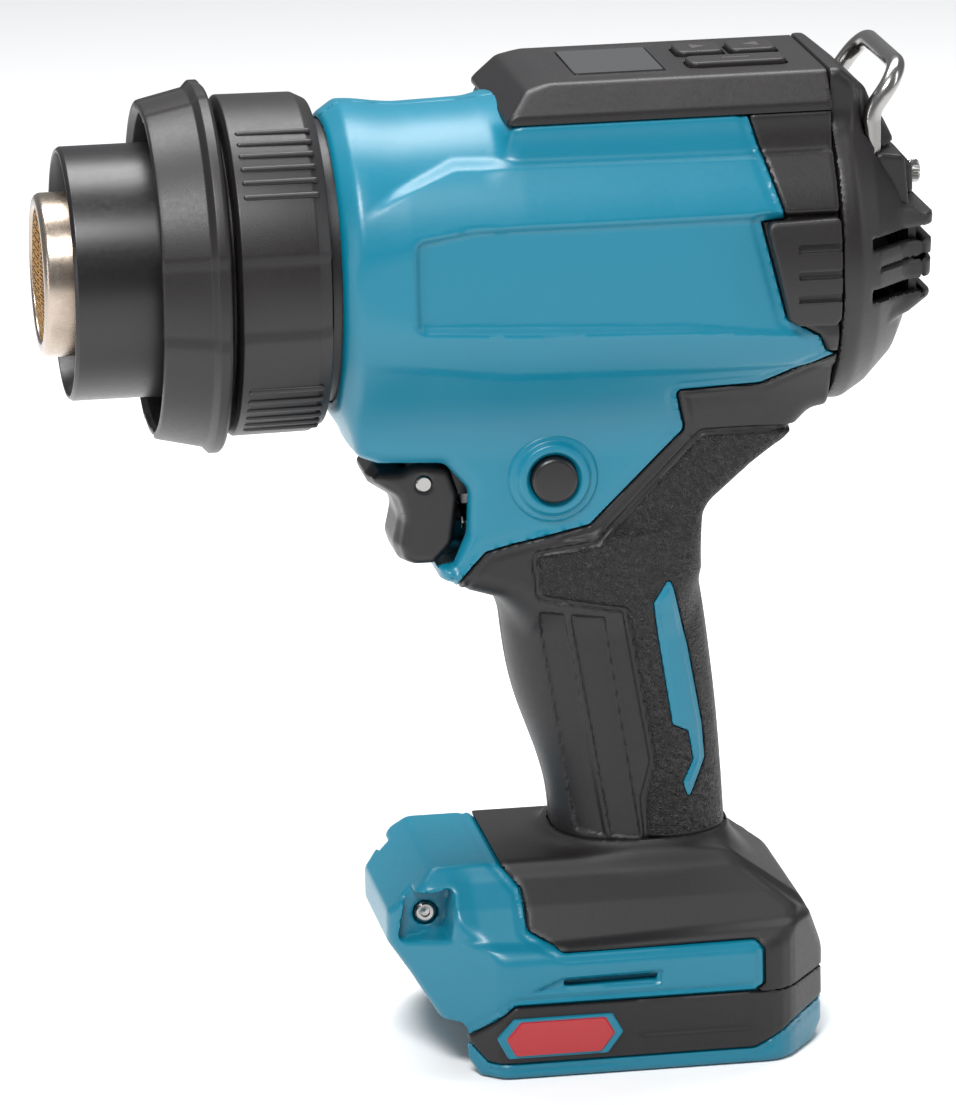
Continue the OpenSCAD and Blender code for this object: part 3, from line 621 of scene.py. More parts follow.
def sided(shape: Shape, side: int) -> Shape:
    """A shape built for the right (+Y) side, put on the asked side."""
    if side > 0:
        return shape
    return Shape(shape.points * (1, -1, 1), shape.faces[:, ::-1])


def both(shape: Shape) -> Shape:
    """A right-side shape and its mirror image as one."""
    faces = np.vstack((shape.faces, shape.faces[:, ::-1] + len(shape.points)))
    return Shape(np.vstack((shape.points, shape.points * (1, -1, 1))), faces)


class Repeats:
    """Geometry Nodes groups that copy and weave repeated parts."""

    def __init__(self, maker: Maker) -> None:
        """Args: maker: ties the results to the frame."""
        self.maker = maker

    def _group(self, name: str, sockets: Sequence[tuple[str, str]]) -> tuple[Nodes, dict[str, Value]]:
        """A new group with named inputs and one geometry output."""
        tree = bpy.data.node_groups.new(name, "GeometryNodeTree")
        face = tree.interface
        face.new_socket("Geometry", in_out="OUTPUT", socket_type="NodeSocketGeometry")
        face.new_socket("Geometry", in_out="INPUT", socket_type="NodeSocketGeometry")
        for label, kind in sockets:
            face.new_socket(label, in_out="INPUT", socket_type=kind)
        n = Nodes(tree)
        entry = n.add("NodeGroupInput")
        return n, {s.name: Value(n, s) for s in entry.socket.node.outputs if s.name}

    def _close(self, n: Nodes, geometry: Value, material: Value) -> None:
        """Realizes the copies and gives them their material."""
        real = n.add("GeometryNodeRealizeInstances", None, {"Geometry": geometry})
        done = n.add("GeometryNodeSetMaterial", None, {"Geometry": real, "Material": material})
        n.add("NodeGroupOutput", None, {0: done})

    def _apply(self, name: str, seed: Shape, tree: bpy.types.NodeTree, values: dict) -> bpy.types.Object:
        """Runs a group on a seed mesh and keeps only the result."""
        mesh = bpy.data.meshes.new(name)
        self.maker.fill(mesh, seed)
        obj = bpy.data.objects.new(name, mesh)
        bpy.context.scene.collection.objects.link(obj)
        modifier = obj.modifiers.new("Repeat", "NODES")
        modifier.node_group = tree
        for item in tree.interface.items_tree:
            if item.in_out == "INPUT" and item.name in values:
                modifier[item.identifier] = values[item.name]
        bpy.context.view_layer.update()
        graph = bpy.context.evaluated_depsgraph_get()
        result = bpy.data.meshes.new_from_object(obj.evaluated_get(graph))
        obj.modifiers.clear()
        obj.data = result
        result.polygons.foreach_set("use_smooth", np.ones(len(result.polygons), bool))
        result.set_sharp_from_angle(angle=math.radians(38))
        return obj

    def ring(
        self, name: str, seed: Shape, count: int, radius: float, start: float, step: float, finish: Finish
    ) -> bpy.types.Object:
        """Copies of a seed round the barrel axis.

        Args:
            name: the object's name.
            seed: the part, built at the left of the axis and facing -Y.
            count: how many copies.
            radius: distance of the seed's origin from the axis in mm.
            start: angle of the first copy above level, in degrees.
            step: degrees between copies.
            finish: the material.

        Returns:
            The object.
        """
        n, at = self._group(
            name,
            [("Count", "NodeSocketInt"), ("Radius", "NodeSocketFloat"), ("Start", "NodeSocketFloat"),
             ("Step", "NodeSocketFloat"), ("Height", "NodeSocketFloat"), ("Material", "NodeSocketMaterial")],
        )
        turn = n.add("GeometryNodeInputIndex") * at["Step"] + at["Start"]
        y = turn.op("COSINE") * at["Radius"] * -1.0
        z = turn.op("SINE") * at["Radius"] + at["Height"]
        spot = n.add("ShaderNodeCombineXYZ", None, {1: y, 2: z})
        points = n.add("GeometryNodePoints", None, {"Count": at["Count"], "Position": spot})
        spin = n.add("ShaderNodeCombineXYZ", None, {0: turn * -1.0})
        copies = n.add(
            "GeometryNodeInstanceOnPoints", None,
            {"Points": points, "Instance": at["Geometry"], "Rotation": spin},
        )
        self._close(n, copies, at["Material"])
        return self._apply(
            name, seed, n.tree,
            {"Count": count, "Radius": radius * MM, "Start": math.radians(start), "Step": math.radians(step),
             "Height": AXIS * MM, "Material": finish.build()},
        )

    def row(
        self, name: str, seed: Shape, count: int, start: Sequence[float], step: Sequence[float], finish: Finish
    ) -> bpy.types.Object:
        """Copies of a seed along a line of even steps, in mm."""
        n, at = self._group(
            name,
            [("Count", "NodeSocketInt"), ("First", "NodeSocketVector"), ("Step", "NodeSocketVector"),
             ("Material", "NodeSocketMaterial")],
        )
        index = n.add("GeometryNodeInputIndex")
        run = n.add("ShaderNodeVectorMath", {"operation": "SCALE"}, {0: at["Step"], "Scale": index})
        spot = n.add("ShaderNodeVectorMath", {"operation": "ADD"}, {0: run, 1: at["First"]})
        points = n.add("GeometryNodePoints", None, {"Count": at["Count"], "Position": spot})
        copies = n.add("GeometryNodeInstanceOnPoints", None, {"Points": points, "Instance": at["Geometry"]})
        self._close(n, copies, at["Material"])
        return self._apply(
            name, seed, n.tree,
            {"Count": count, "First": [v * MM for v in start], "Step": [v * MM for v in step],
             "Material": finish.build()},
        )

    def weave(
        self, name: str, pitch: float, reach: float, wire: float, bulge: float, place: float, finish: Finish
    ) -> bpy.types.Object:
        """A domed disc of woven wire across the barrel axis.

        Args:
            name: the object's name.
            pitch: distance between wires in mm.
            reach: the disc's radius.
            wire: a wire's radius.
            bulge: how far the middle stands forward of the edge.
            place: X of the disc's edge.
            finish: the material.

        Returns:
            The object.
        """
        n, at = self._group(
            name,
            [("Pitch", "NodeSocketFloat"), ("Reach", "NodeSocketFloat"), ("Wire", "NodeSocketFloat"),
             ("Bulge", "NodeSocketFloat"), ("Place", "NodeSocketFloat"), ("Height", "NodeSocketFloat"),
             ("Material", "NodeSocketMaterial")],
        )
        rows = (at["Reach"] / at["Pitch"]).op("FLOOR") * 2.0 + 1.0
        joined = n.add("GeometryNodeJoinGeometry")
        for level in (True, False):
            across = 1 if level else 2
            ends = [n.add("ShaderNodeCombineXYZ", None, {across: at["Reach"] * s}) for s in (-1.0, 1.0)]
            line = n.add("GeometryNodeCurvePrimitiveLine", None, {"Start": ends[0], "End": ends[1]})
            line = n.add("GeometryNodeResampleCurve", None, {"Curve": line, "Count": rows * 2.0 - 1.0})
            offset = (n.add("GeometryNodeInputIndex") - (rows - 1.0) / 2.0) * at["Pitch"]
            spot = n.add("ShaderNodeCombineXYZ", None, {2 if level else 1: offset})
            points = n.add("GeometryNodePoints", None, {"Count": rows, "Position": spot})
            lines = n.add("GeometryNodeInstanceOnPoints", None, {"Points": points, "Instance": line})
            lines = n.add("GeometryNodeRealizeInstances", None, {"Geometry": lines})
            xyz = n.add("ShaderNodeSeparateXYZ", None, {0: n.add("GeometryNodeInputPosition")})
            y, z = n.other(xyz, 1), n.other(xyz, 2)
            far = (y * y + z * z).op("SQRT")
            lines = n.add(
                "GeometryNodeDeleteGeometry", {"domain": "POINT"},
                {"Geometry": lines, "Selection": far.op("GREATER_THAN", at["Reach"])},
            )
            wave_y = (y * math.pi / at["Pitch"]).op("COSINE")
            wave = wave_y * (z * math.pi / at["Pitch"]).op("COSINE") * at["Wire"]
            share = far / at["Reach"]
            dome = (1.0 - share * share) * at["Bulge"] * -1.0
            shift = n.add(
                "ShaderNodeCombineXYZ", None,
                {0: wave * (1.0 if level else -1.0) + dome + at["Place"], 2: at["Height"]},
            )
            lines = n.add("GeometryNodeSetPosition", None, {"Geometry": lines, "Offset": shift})
            circle = n.add("GeometryNodeCurvePrimitiveCircle", None, {"Resolution": 5, "Radius": at["Wire"]})
            tube = n.add(
                "GeometryNodeCurveToMesh", None, {"Curve": lines, "Profile Curve": circle, "Fill Caps": True}
            )
            n.tree.links.new(tube.socket, joined.socket.node.inputs[0])
        self._close(n, joined, at["Material"])
        seed = Shape(np.array([(0, 0, 0), (1, 0, 0), (0, 1, 0)]), [[0, 1, 2]])
        return self._apply(
            name, seed, n.tree,
            {"Pitch": pitch * MM, "Reach": reach * MM, "Wire": wire * MM, "Bulge": bulge * MM,
             "Place": place * MM, "Height": AXIS * MM, "Material": finish.build()},
        )


# ---------------------------------------------------------------- the gun's outside form


class Skin:
    """The outside form shared by the housing, the rear band, the pads and the grips."""

    neck = Outline([
        (-31, 159.5), (-30.5, 138.5, 2), (-26, 136.5), (-11.3, 135.7, 3), (-6, 129.5, 3), (-6.4, 119.5, 4),
        (-9.5, 112.5, 1), (-13, 112.5, 1), (-12.4, 109.1, 1), (-8, 106.5, 2), (0.7, 103.6, 2), (8, 98),
        (40, 98), (45.2, 108), (45.9, 122.5, 8), (57, 132, 6), (64.5, 137.5, 6), (69, 145.5, 5), (74, 147),
        (84, 147), (84, 164.5)])
    front_z = (44, 53.3, 59.7, 70.1, 79.3, 90.6, 100.1)
    front_x = (13.5, 13.1, 12.0, 8.4, 5.1, 3.2, 2.4)
    rear_z = (44, 60.7, 75.8, 94.9, 109.3, 116.4)
    rear_x = (52.6, 51.8, 50.8, 48.7, 46.5, 45.9)

    def barrel(self, x: Array, y: Array, z: Array) -> Array:
        """The barrel with its shoulder, side channel and front pad."""
        radius = np.interp(x, (-35, -31.3, -30.6, -20, 5), (32.4, 34.9, 35.2, 35.8, 36.5))
        body = np.hypot(y, z - AXIS) - radius
        line = np.interp(x, (-31, -22.5, -9.4, 51.9), (193.4, 198.4, 203.4, 202.6))
        body = body + 1.9 * ramp((z - line) / 2.2) * ramp((x + 31) / 14)
        top = np.interp(x, (-32.6, -6.4, 19.9), (186.4, 190.7, 190.4))
        ledge = np.interp(x, (-32.7, -19.8, 41.6, 68.1), (170.6, 171.0, 167.8, 164.2))
        outside = np.maximum(z - top, ledge - z)
        floor = 32.9 + 1.8 * ramp((-17.6 - x) / 2.6) + 0.85 * np.maximum(outside, 0)
        body = smooth_max(body, (y - floor) * 0.8, 0.5)
        keel = np.interp(x, (-31, 2, 44), (163.5, 158.5, 157.5))
        return body + 1.3 * ramp((keel - z) / 2.4) * ramp((x + 31) / 16) * ramp((z - 138) / 8)

    def handle(self, x: Array, y: Array, z: Array) -> Array:
        """The grip below the neck."""
        levels = [z + step for step in (-5, -2.5, 0, 2.5, 5)]
        front = sum(np.interp(level, self.front_z, self.front_x) for level in levels) / 5
        rear = sum(np.interp(level, self.rear_z, self.rear_x) for level in levels) / 5
        half = (rear - front) / 2
        across = (np.abs(x - (front + rear) / 2) / half) ** 2.5 + (np.abs(y) / 17.4) ** 2.5
        return np.maximum((across**0.4 - 1) * 17.4, z - 116)

    def __call__(self, x: Array, y: Array, z: Array) -> Array:
        """Distance to the whole form."""
        body = self.barrel(x, y, z)
        saddle = smooth_max(smooth_max(y - 25.4, np.abs(z - 201.3) - 11, 1.2), (2.5 - x) * 0.8, 3)
        body = smooth_min(body, saddle, 5)
        neck = smooth_max(self.neck(x, z), y - 17.3, np.interp(z, (98, 118), (9, 4)))
        body = smooth_min(body, neck, 11)
        return smooth_min(body, self.handle(x, y, z), 5)


SKIN = Skin()
SEAM = 74
RIM = SEAM - 0.15
SHELL_WALL = 3.0
FACE = 0.02
GRIP_AREA = Outline([
    (-60, 20), (-60, 103.5), (-8.6, 103.5), (-8, 109.4, 2), (-2.8, 115.4, 2), (2.9, 116.8), (20.6, 120.3, 2),
    (42, 141.1, 2), (39.5, 151, 1), (58, 151.7, 3), (70.6, 157.9), (74, 159.5), (100, 159.5), (100, 20)])
BAND_AREA = Outline([
    (54.4, 240), (55, 213.8), (62.1, 190.2), (56.8, 190), (62.2, 168.2), (69.5, 164), (71.2, 160.2),
    (SEAM, 159.5), (100, 159.5), (100, 240)])
PAD_AREA = Outline([
    (57.2, 190.2, 1.5), (62.2, 168.2, 1), (64.2, 166.9, 1), (72.6, 166.6, 1), (73.7, 168.1, 1),
    (73.7, 190.6, 1)])
TEXTURE_AREA = Outline([
    (8.5, 113.9, 1), (22.8, 115.9, 3), (45.9, 139.5, 1), (53.3, 139.7), (75, 139), (75, 40), (32.8, 47.8),
    (32.2, 57.1, 1), (34.4, 65.3, 1), (28.5, 101.3, 1), (9.5, 105.1, 1)])
FLUTE_AREA = Outline([(8.6, 101.4, 1), (24.4, 99.4, 1), (29.9, 61), (32.2, 47.4), (16.9, 48.8, 1)])
STRIPE_AREA = Outline([
    (37.9, 107.2, 0.5), (34.4, 101.9), (38.6, 73.3), (42.3, 71.3, 0.5), (43.4, 64.7), (40.8, 59.7),
    (42.1, 55.6, 0.5), (46.3, 64.5), (45.8, 72.3), (42.6, 90.8), (39, 105.1)])
POSTS = ((-24, 208.5), (66, 208.5), (-24, 150.5), (60, 150.5), (13.5, 89.5), (37, 55.7))
LOCK = (12.5, 131.7)
COVER = 2.1
STEP = 0.12


def trigger_room(x: Array, y: Array, z: Array) -> Array:
    """The slot in the housing for the trigger and its switch."""
    return largest(x + 2, y - 12.6, 111.4 - z, z - 137.2)


def post_room(x: Array, y: Array, z: Array) -> Array:
    """The pockets of the housing screws in the right half."""
    out = None
    for px, pz in POSTS:
        peg = np.hypot(x - px, z - pz)
        pocket = np.minimum(np.maximum(peg - 2.85, 11.2 - y), peg - 1.55)
        out = pocket if out is None else np.minimum(out, pocket)
    return out


class HousingHalf:
    """One moulded half of the coloured housing."""

    def __init__(self, side: int) -> None:
        """Args: side: -1 for the left half, 1 for the right."""
        self.side = side

    def field(self, x: Array, y: Array, z: Array) -> Array:
        """A walled shell with the room for grips, band, trigger, guard, lock and screws cut out."""
        whole = largest(smooth_max(SKIN(x, y, z), -35 - x, 0.9), x - SEAM)
        over = np.minimum(GRIP_AREA(x, z), BAND_AREA(x, z))
        whole = whole + groove(over, 1.6, 1.0, 0.36)
        solid = smooth_max(whole, np.minimum(STEP - over, whole + COVER + 0.1), 0.9)
        solid = np.maximum(solid, 44.2 - z)
        shell = np.maximum(solid, -(solid + SHELL_WALL))
        radius = np.hypot(y, z - AXIS)
        shell = np.maximum(shell, -np.maximum(radius - 31.2, x + 31.8))
        if self.side > 0:
            for px, pz in POSTS:
                shell = np.minimum(shell, np.maximum(solid, np.hypot(x - px, z - pz) - 4.2))
            shell = np.maximum(shell, -post_room(x, y, z))
        else:
            shell = np.maximum(shell, 6.9 - np.hypot(x - LOCK[0], z - LOCK[1]))
        return np.maximum(carve(shell, trigger_room(x, y, z)), FACE - y)

    def build(self, maker: Maker) -> None:
        """Adds the half."""
        name = "housing_left" if self.side < 0 else "housing_right"
        net = Net((-36.5, -1.2, 43), (75.5, 38, 217.5), 0.78)
        maker.add(name + "_shell", sided(net.build(self.field), self.side), TEAL, "teal_plastic", (name,))


class GripHalf:
    """One soft grip half with its leather panel, flutes and the room for the coloured stripe."""

    def __init__(self, side: int) -> None:
        """Args: side: -1 for the left half, 1 for the right."""
        self.side = side

    def relief(self, x: Array, z: Array) -> Array:
        """Depth of the surface below the plain grip."""
        texture, flute = TEXTURE_AREA(x, z), FLUTE_AREA(x, z)
        channel = ramp((1.5 - texture) / 0.5) * ramp((texture + 0.2) / 0.5)
        depth = -0.35 * ramp((-0.1 - texture) / 0.6) + 0.55 * channel
        depth = depth + 0.55 * ramp(-flute / 0.6)
        for low, high in (((23.8, 48), (15.2, 100.7)), ((31.6, 47.2), (23.9, 100.2))):
            rib = np.abs(x - np.interp(z, (low[1], high[1]), (low[0], high[0]))) - 0.5
            depth = depth - 0.75 * ramp((0.45 - rib) / 0.6) * ramp(-flute / 0.6)
        return depth

    def field(self, x: Array, y: Array, z: Array) -> Array:
        """The grip's layer over the handle and neck."""
        skin = SKIN(x, y, z)
        side = ramp((y - 6) / 5)
        over = GRIP_AREA(x, z)
        outer = skin + self.relief(x, z) * side + groove(-over, 1.5, 0.9, 0.3) * side
        layer = smooth_max(outer, smooth_max(over + STEP, x - RIM, 0.8), 0.8)
        layer = largest(layer, -(skin + COVER), 45.9 - z)
        layer = carve(layer, np.maximum(STRIPE_AREA(x, z) - 0.1, 8 - y), 0.45)
        layer = np.maximum(carve(layer, trigger_room(x, y, z)), FACE - y)
        if self.side < 0:
            return np.maximum(layer, 10.8 - np.hypot(x - LOCK[0], z - LOCK[1]))
        return np.maximum(layer, -post_room(x, y, z))

    def leather(self, centre: Array) -> Array:
        """Whether a face lies on the leather panel."""
        x, y, z = centre.T
        return (TEXTURE_AREA(x, z) < -0.15) & (np.abs(y) > 5) & (z > 48.2)

    def build(self, maker: Maker) -> None:
        """Adds the grip."""
        name = "grip_left" if self.side < 0 else "grip_right"
        net = Net((-9.5, -1.2, 44.6), (75, 30, 160.5), 0.55)
        shape = sided(net.build(self.field), self.side)
        maker.add(name + "_skin", shape, RUBBER, "soft_grip", (name,), second=(LEATHER, self.leather))


class SideParts:
    """Stripes, pads and the dark band behind the coloured housing."""

    def stripe(self, x: Array, y: Array, z: Array) -> Array:
        """The coloured stripe, with a raised middle inside a lower border."""
        edge = STRIPE_AREA(x, z)
        lift = 0.25 + 0.25 * ramp((-0.9 - edge) / 0.4)
        skin = SKIN(x, y, z)
        return largest(smooth_max(skin - lift, edge, 0.4), -(skin + COVER), 8.5 - y)

    def band(self, x: Array, y: Array, z: Array) -> Array:
        """The dark rear band of one housing half."""
        skin = SKIN(x, y, z)
        over = BAND_AREA(x, z)
        crease = 0.35 * ramp((203.5 - z) / 0.8) * ramp((z - 190) / 1.0)
        rim = smooth_max(over + STEP, x - RIM, 0.8)
        return largest(smooth_max(skin - 0.1 + crease, rim, 0.8), -(skin + COVER), z - 212.25, FACE - y)

    def pad(self, x: Array, y: Array, z: Array) -> Array:
        """The soft bumper pad with its three grooves."""
        skin = SKIN(x, y, z)
        body = smooth_max(np.hypot(y, z - AXIS) - 37.7, PAD_AREA(x, z), 0.8)
        for middle in (173.2, 178.6, 184.4):
            cut = np.maximum(np.abs(z - middle) - 0.8, 64 - x)
            body = np.maximum(body, -np.maximum(cut, 36.7 - np.hypot(y, z - AXIS)))
        return np.maximum(body, -(skin - 0.18))

    def build(self, maker: Maker) -> None:
        """Adds the pieces."""
        shape = Net((33, 7, 54), (48, 20, 109), 0.4).build(self.stripe)
        maker.add("grip_stripes", both(shape), TEAL, "teal_plastic", ("grip_inserts",))
        shape = Net((53, -1, 158), (75, 38.5, 213.5), 0.6).build(self.band)
        maker.add("rear_band", both(shape), CHARCOAL, "black_plastic")
        shape = Net((55, 30, 165), (75, 39, 192), 0.4).build(self.pad)
        maker.add("bumper_pads", both(shape), RUBBER, "soft_grip", ("side_pads",))


class RearEnd:
    """Rear cover with its vents, the hook's block, the hook and its screw."""

    hook_x = 83.8
    leg_y = 20.0
    wire = 2.0
    screw_z = 192.5
    shell = Outline([
        (60, -1), (60, 36.5), (78, 36.5, 3), (83, 33.4, 3), (89, 27.4, 2), (91.5, 22.4, 2), (91.5, -1)])
    spine = Outline([
        (60, 194.5), (60, 220.8), (76.6, 220.8, 2), (83, 215.5, 4), (89.3, 202, 2), (89.3, 194.5)])
    fins = Outline([
        (83, 190.8), (92, 190.4, 1), (97.3, 188.4, 1.5), (96.8, 179.5), (96.3, 169.1, 1.5), (91, 166.1, 2),
        (82, 163.5)])
    block = Outline([(83.9, 188.3), (83.9, 202, 1.4), (90.6, 201.1, 1.4), (91.6, 188.3)])
    boss = Outline([(86.2, 188.3), (86.2, 201.7, 1), (91.5, 200.1, 2), (95.9, 195.1, 2), (95.9, 188.3, 1.5)])

    def cover(self, x: Array, y: Array, z: Array) -> Array:
        """The rear cover."""
        body = self.shell(x, np.hypot(y, z - AXIS))
        width = np.interp(x, (79, 89), (22, 13))
        spine = smooth_max(self.spine(x, z), y - width, 2.5)
        fin_half = np.interp(x, (87, 97), (27, 22.5))
        fins = smooth_max(self.fins(x, z), y - fin_half, 2.5)
        solid = smooth_min(smooth_min(body, spine, 3), fins, 1.0)
        solid = smooth_max(solid, 74.12 - x, 0.8)
        shell = np.maximum(solid, -(solid + 2.6))
        for middle in (183.7, 172.2):
            shell = carve(shell, np.maximum(np.abs(z - middle) - 1.4, 81 - x))
        shell = carve(shell, np.maximum(np.abs(z - 178.2) - 0.35, 82.5 - x), 0.3)
        shell = np.maximum(shell, -largest(86 - x, x - 94.3, y - 23, 170 - z, z - 185.5))
        leg = np.hypot(x - self.hook_x, y - self.leg_y)
        shell = carve(shell, largest(leg - self.wire - 0.3, 193 - z), 0.3)
        return carve(shell, largest(83.7 - x, 188.1 - z, y - 23.6, z - 202.3), 0.4)

    def holder(self, x: Array, y: Array, z: Array) -> Array:
        """The block that holds the hook's legs and the screw."""
        block = smooth_max(self.block(x, z), y - 23.4, 1.2)
        body = smooth_min(block, smooth_max(self.boss(x, z), y - 7, 1.2), 0.8)
        body = np.maximum(body, self.wire + 0.15 - np.hypot(x - self.hook_x, y - self.leg_y))
        return np.maximum(body, 2.0 - np.hypot(y, z - self.screw_z))

    def hook_path(self) -> Array:
        """The bent wire's middle line."""
        bend_z, bend, lean, corner = 208.2, 7.5, 36, 7.2
        side = [(self.hook_x, -self.leg_y, z) for z in (193.4, 204.0, bend_z)]
        for k in range(1, 13):
            a = math.radians(lean * k / 12)
            side.append((self.hook_x + bend * (1 - math.cos(a)), -self.leg_y, bend_z + bend * math.sin(a)))
        x0, z0 = side[-1][0], side[-1][2]
        run = (math.sin(math.radians(lean)), math.cos(math.radians(lean)))
        for k in range(0, 21):
            b = math.radians(90 * k / 20)
            s = 1.8 + corner * math.sin(b)
            side.append((x0 + run[0] * s, -self.leg_y + corner * (1 - math.cos(b)), z0 + run[1] * s))
        side.append((side[-1][0], side[-1][1] + 0.6, side[-1][2]))
        other = [(x, -y, z) for x, y, z in reversed(side)]
        return np.array(side + other)

    def build(self, maker: Maker, repeats: Repeats) -> None:
        """Adds the pieces."""
        shape = Net((73.2, -38, 141), (99, 38, 222), 0.75).build(lambda x, y, z: self.cover(x, np.abs(y), z))
        maker.add("rear_shell", shape, CHARCOAL, "black_plastic", ("rear_cover",))
        shape = Net((83, -25, 187), (97, 25, 203), 0.6).build(lambda x, y, z: self.holder(x, np.abs(y), z))
        maker.add("hook_holder", shape, CHARCOAL, "black_plastic", ("hook_block",))
        wire = swept(self.hook_path(), self.wire, 24)
        maker.add("hook_wire", wire, STEEL, "bright_steel", ("hanging_hook",), crease=85)
        head = [
            (0.2, 86), (1.8, 86), (1.8, 95.9), (2.3, 96), (2.6, 96.4), (2.6, 98.1), (2.2, 98.5), (1.2, 98.5),
            (1.1, 97.5), (0.2, 97.4)]
        screw = turned(head, centre=(0.0, self.screw_z), sides=96, dent=self.knurl)
        maker.add("hook_screw_head", screw, STEEL, "bright_steel", ("hook_screw",))
        self.vents(maker, repeats)

    @staticmethod
    def knurl(angle: float, place: float, radius: float) -> float:
        """Notches round the screw's head."""
        return 0.0 if radius < 2.5 else 0.16 * (1 + math.cos(24 * angle))

    def vents(self, maker: Maker, repeats: Repeats) -> None:
        """A dark sheet, painted shade behind the side slots, and bars behind the rear openings."""
        # Painted shade: a thin dark sheet down the middle of the cover so that the side slots read dark.
        shade_sheet = prism([(78, 168, 1), (94, 170.2, 1), (94, 185.3, 1), (78, 185.3, 1)], -0.6, 0.6, 0.2)
        maker.add("vent_shade_sheet", shade_sheet, TRIGGER, "black_plastic")
        section = [(91.5, -7.3, 0.5), (93.2, -7.3, 0.5), (93.2, 7.3, 0.5), (91.5, 7.3, 0.5)]
        seed = prism(section, -0.6, 0.6, 0.2)
        bars = repeats.row("vent_bars", seed, 13, (0, -21, 177.8), (0, 3.5, 0), TRIGGER)
        maker.tie(bars, (), "housing")


class Panel:
    """The display panel, its window and its three keys."""

    section = Outline([
        (-25.5, 200), (-25.5, 214.4, 1.5), (-20, 220.8, 2), (20, 220.8, 2), (25.5, 214.4, 1.5), (25.5, 200)])
    front = Outline([(2.6, 200), (2.6, 213.4), (7.4, 219.2, 3), (13, 220.8, 3), (90, 220.8), (90, 200)])
    key_top = 221.55
    upright = ((1, 0, 0, 0), (0, 0, 1, 0), (0, 1, 0, 0), (0, 0, 0, 1))
    keys = {
        "up_key": (50.3, 6.6, 5.2, 5.2),
        "down_key": (62.2, 6.6, 5.2, 5.2),
        "mode_key": (56.2, -7.4, 10.8, 4.0),
    }

    def key_area(self, key: tuple[float, float, float, float], x: Array, y: Array, extra: float) -> Array:
        """Distance to a key's outline in plan."""
        cx, cy, hx, hy = key
        corner = 1.8
        dx, dy = np.abs(x - cx) - hx + corner, np.abs(y - cy) - hy + corner
        outside = np.hypot(np.maximum(dx, 0), np.maximum(dy, 0))
        return outside + np.minimum(np.maximum(dx, dy), 0) - corner - extra

    def lid(self, x: Array, y: Array, z: Array) -> Array:
        """The panel's walled lid."""
        solid = smooth_max(self.section(y, z), self.front(x, z), 1.2)
        solid = largest(solid, 212.42 - z, x - RIM)
        frame_edge = np.maximum(np.abs(x - 29.5) - 12.2, np.abs(y) - 15.2)
        solid = solid + groove(frame_edge, 0.0, 0.7, 0.25)
        shell = np.maximum(solid, -(solid + 2.1))
        shell = np.maximum(shell, -largest(np.abs(x - 29.5) - 10, np.abs(y) - 13, 219.5 - z))
        shell = np.maximum(shell, -largest(np.abs(x - 29.5) - 8, np.abs(y) - 11, 216 - z))
        for key in self.keys.values():
            near = self.key_area(key, x, y, 0.35)
            shell = largest(shell, -np.maximum(near, 213 - z), -np.maximum(near - 0.9, 220.35 - z))
        return shell

    def key(self, name: str) -> Field:
        """The field of one key."""
        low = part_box(name)[0].z / MM

        def field(x: Array, y: Array, z: Array) -> Array:
            area = self.key_area(self.keys[name], x, y, 0.0)
            return np.maximum(smooth_max(area, z - self.key_top, 0.7), low - z)

        return field

    def build(self, maker: Maker) -> None:
        """Adds the pieces."""
        shape = Net((1, -26.6, 211.4), (75, 26.6, 221.8), 0.55).build(self.lid)
        maker.add("panel_lid", shape, CHARCOAL, "black_plastic", ("display_panel",))
        for name, (cx, cy, hx, hy) in self.keys.items():
            net = Net((cx - hx - 1, cy - hy - 1, 214), (cx + hx + 1, cy + hy + 1, 222.6), 0.4)
            maker.add(name + "_cap", net.build(self.key(name)), KEY, "key_rubber", (name,), body=name)
            if name == "mode_key":
                sign = [(cx - 3, -0.5), (cx + 3, -0.5), (cx + 3, 0.5), (cx - 3, 0.5)]
            else:
                tip = 2.0 if name == "up_key" else -2.0
                sign = [(cx - tip * 0.8, -2.2), (cx + tip, 0.0), (cx - tip * 0.8, 2.2)]
            turn = Matrix.Translation((0, cy, self.key_top)) @ Matrix(self.upright)
            mark = prism(sign, -0.1, 0.06, 0.02).moved(turn)
            maker.add(name + "_mark", mark, MARK, "key_rubber", body=name)
        edge = [(19.65, -12.85, 1), (39.35, -12.85, 1), (39.35, 12.85, 1), (19.65, 12.85, 1)]
        pane = prism(edge, 219.6, 220.75, 0.25).moved(Matrix(self.upright))
        maker.add("display_pane", pane, GLASS, "window_glass", ("display_window",))


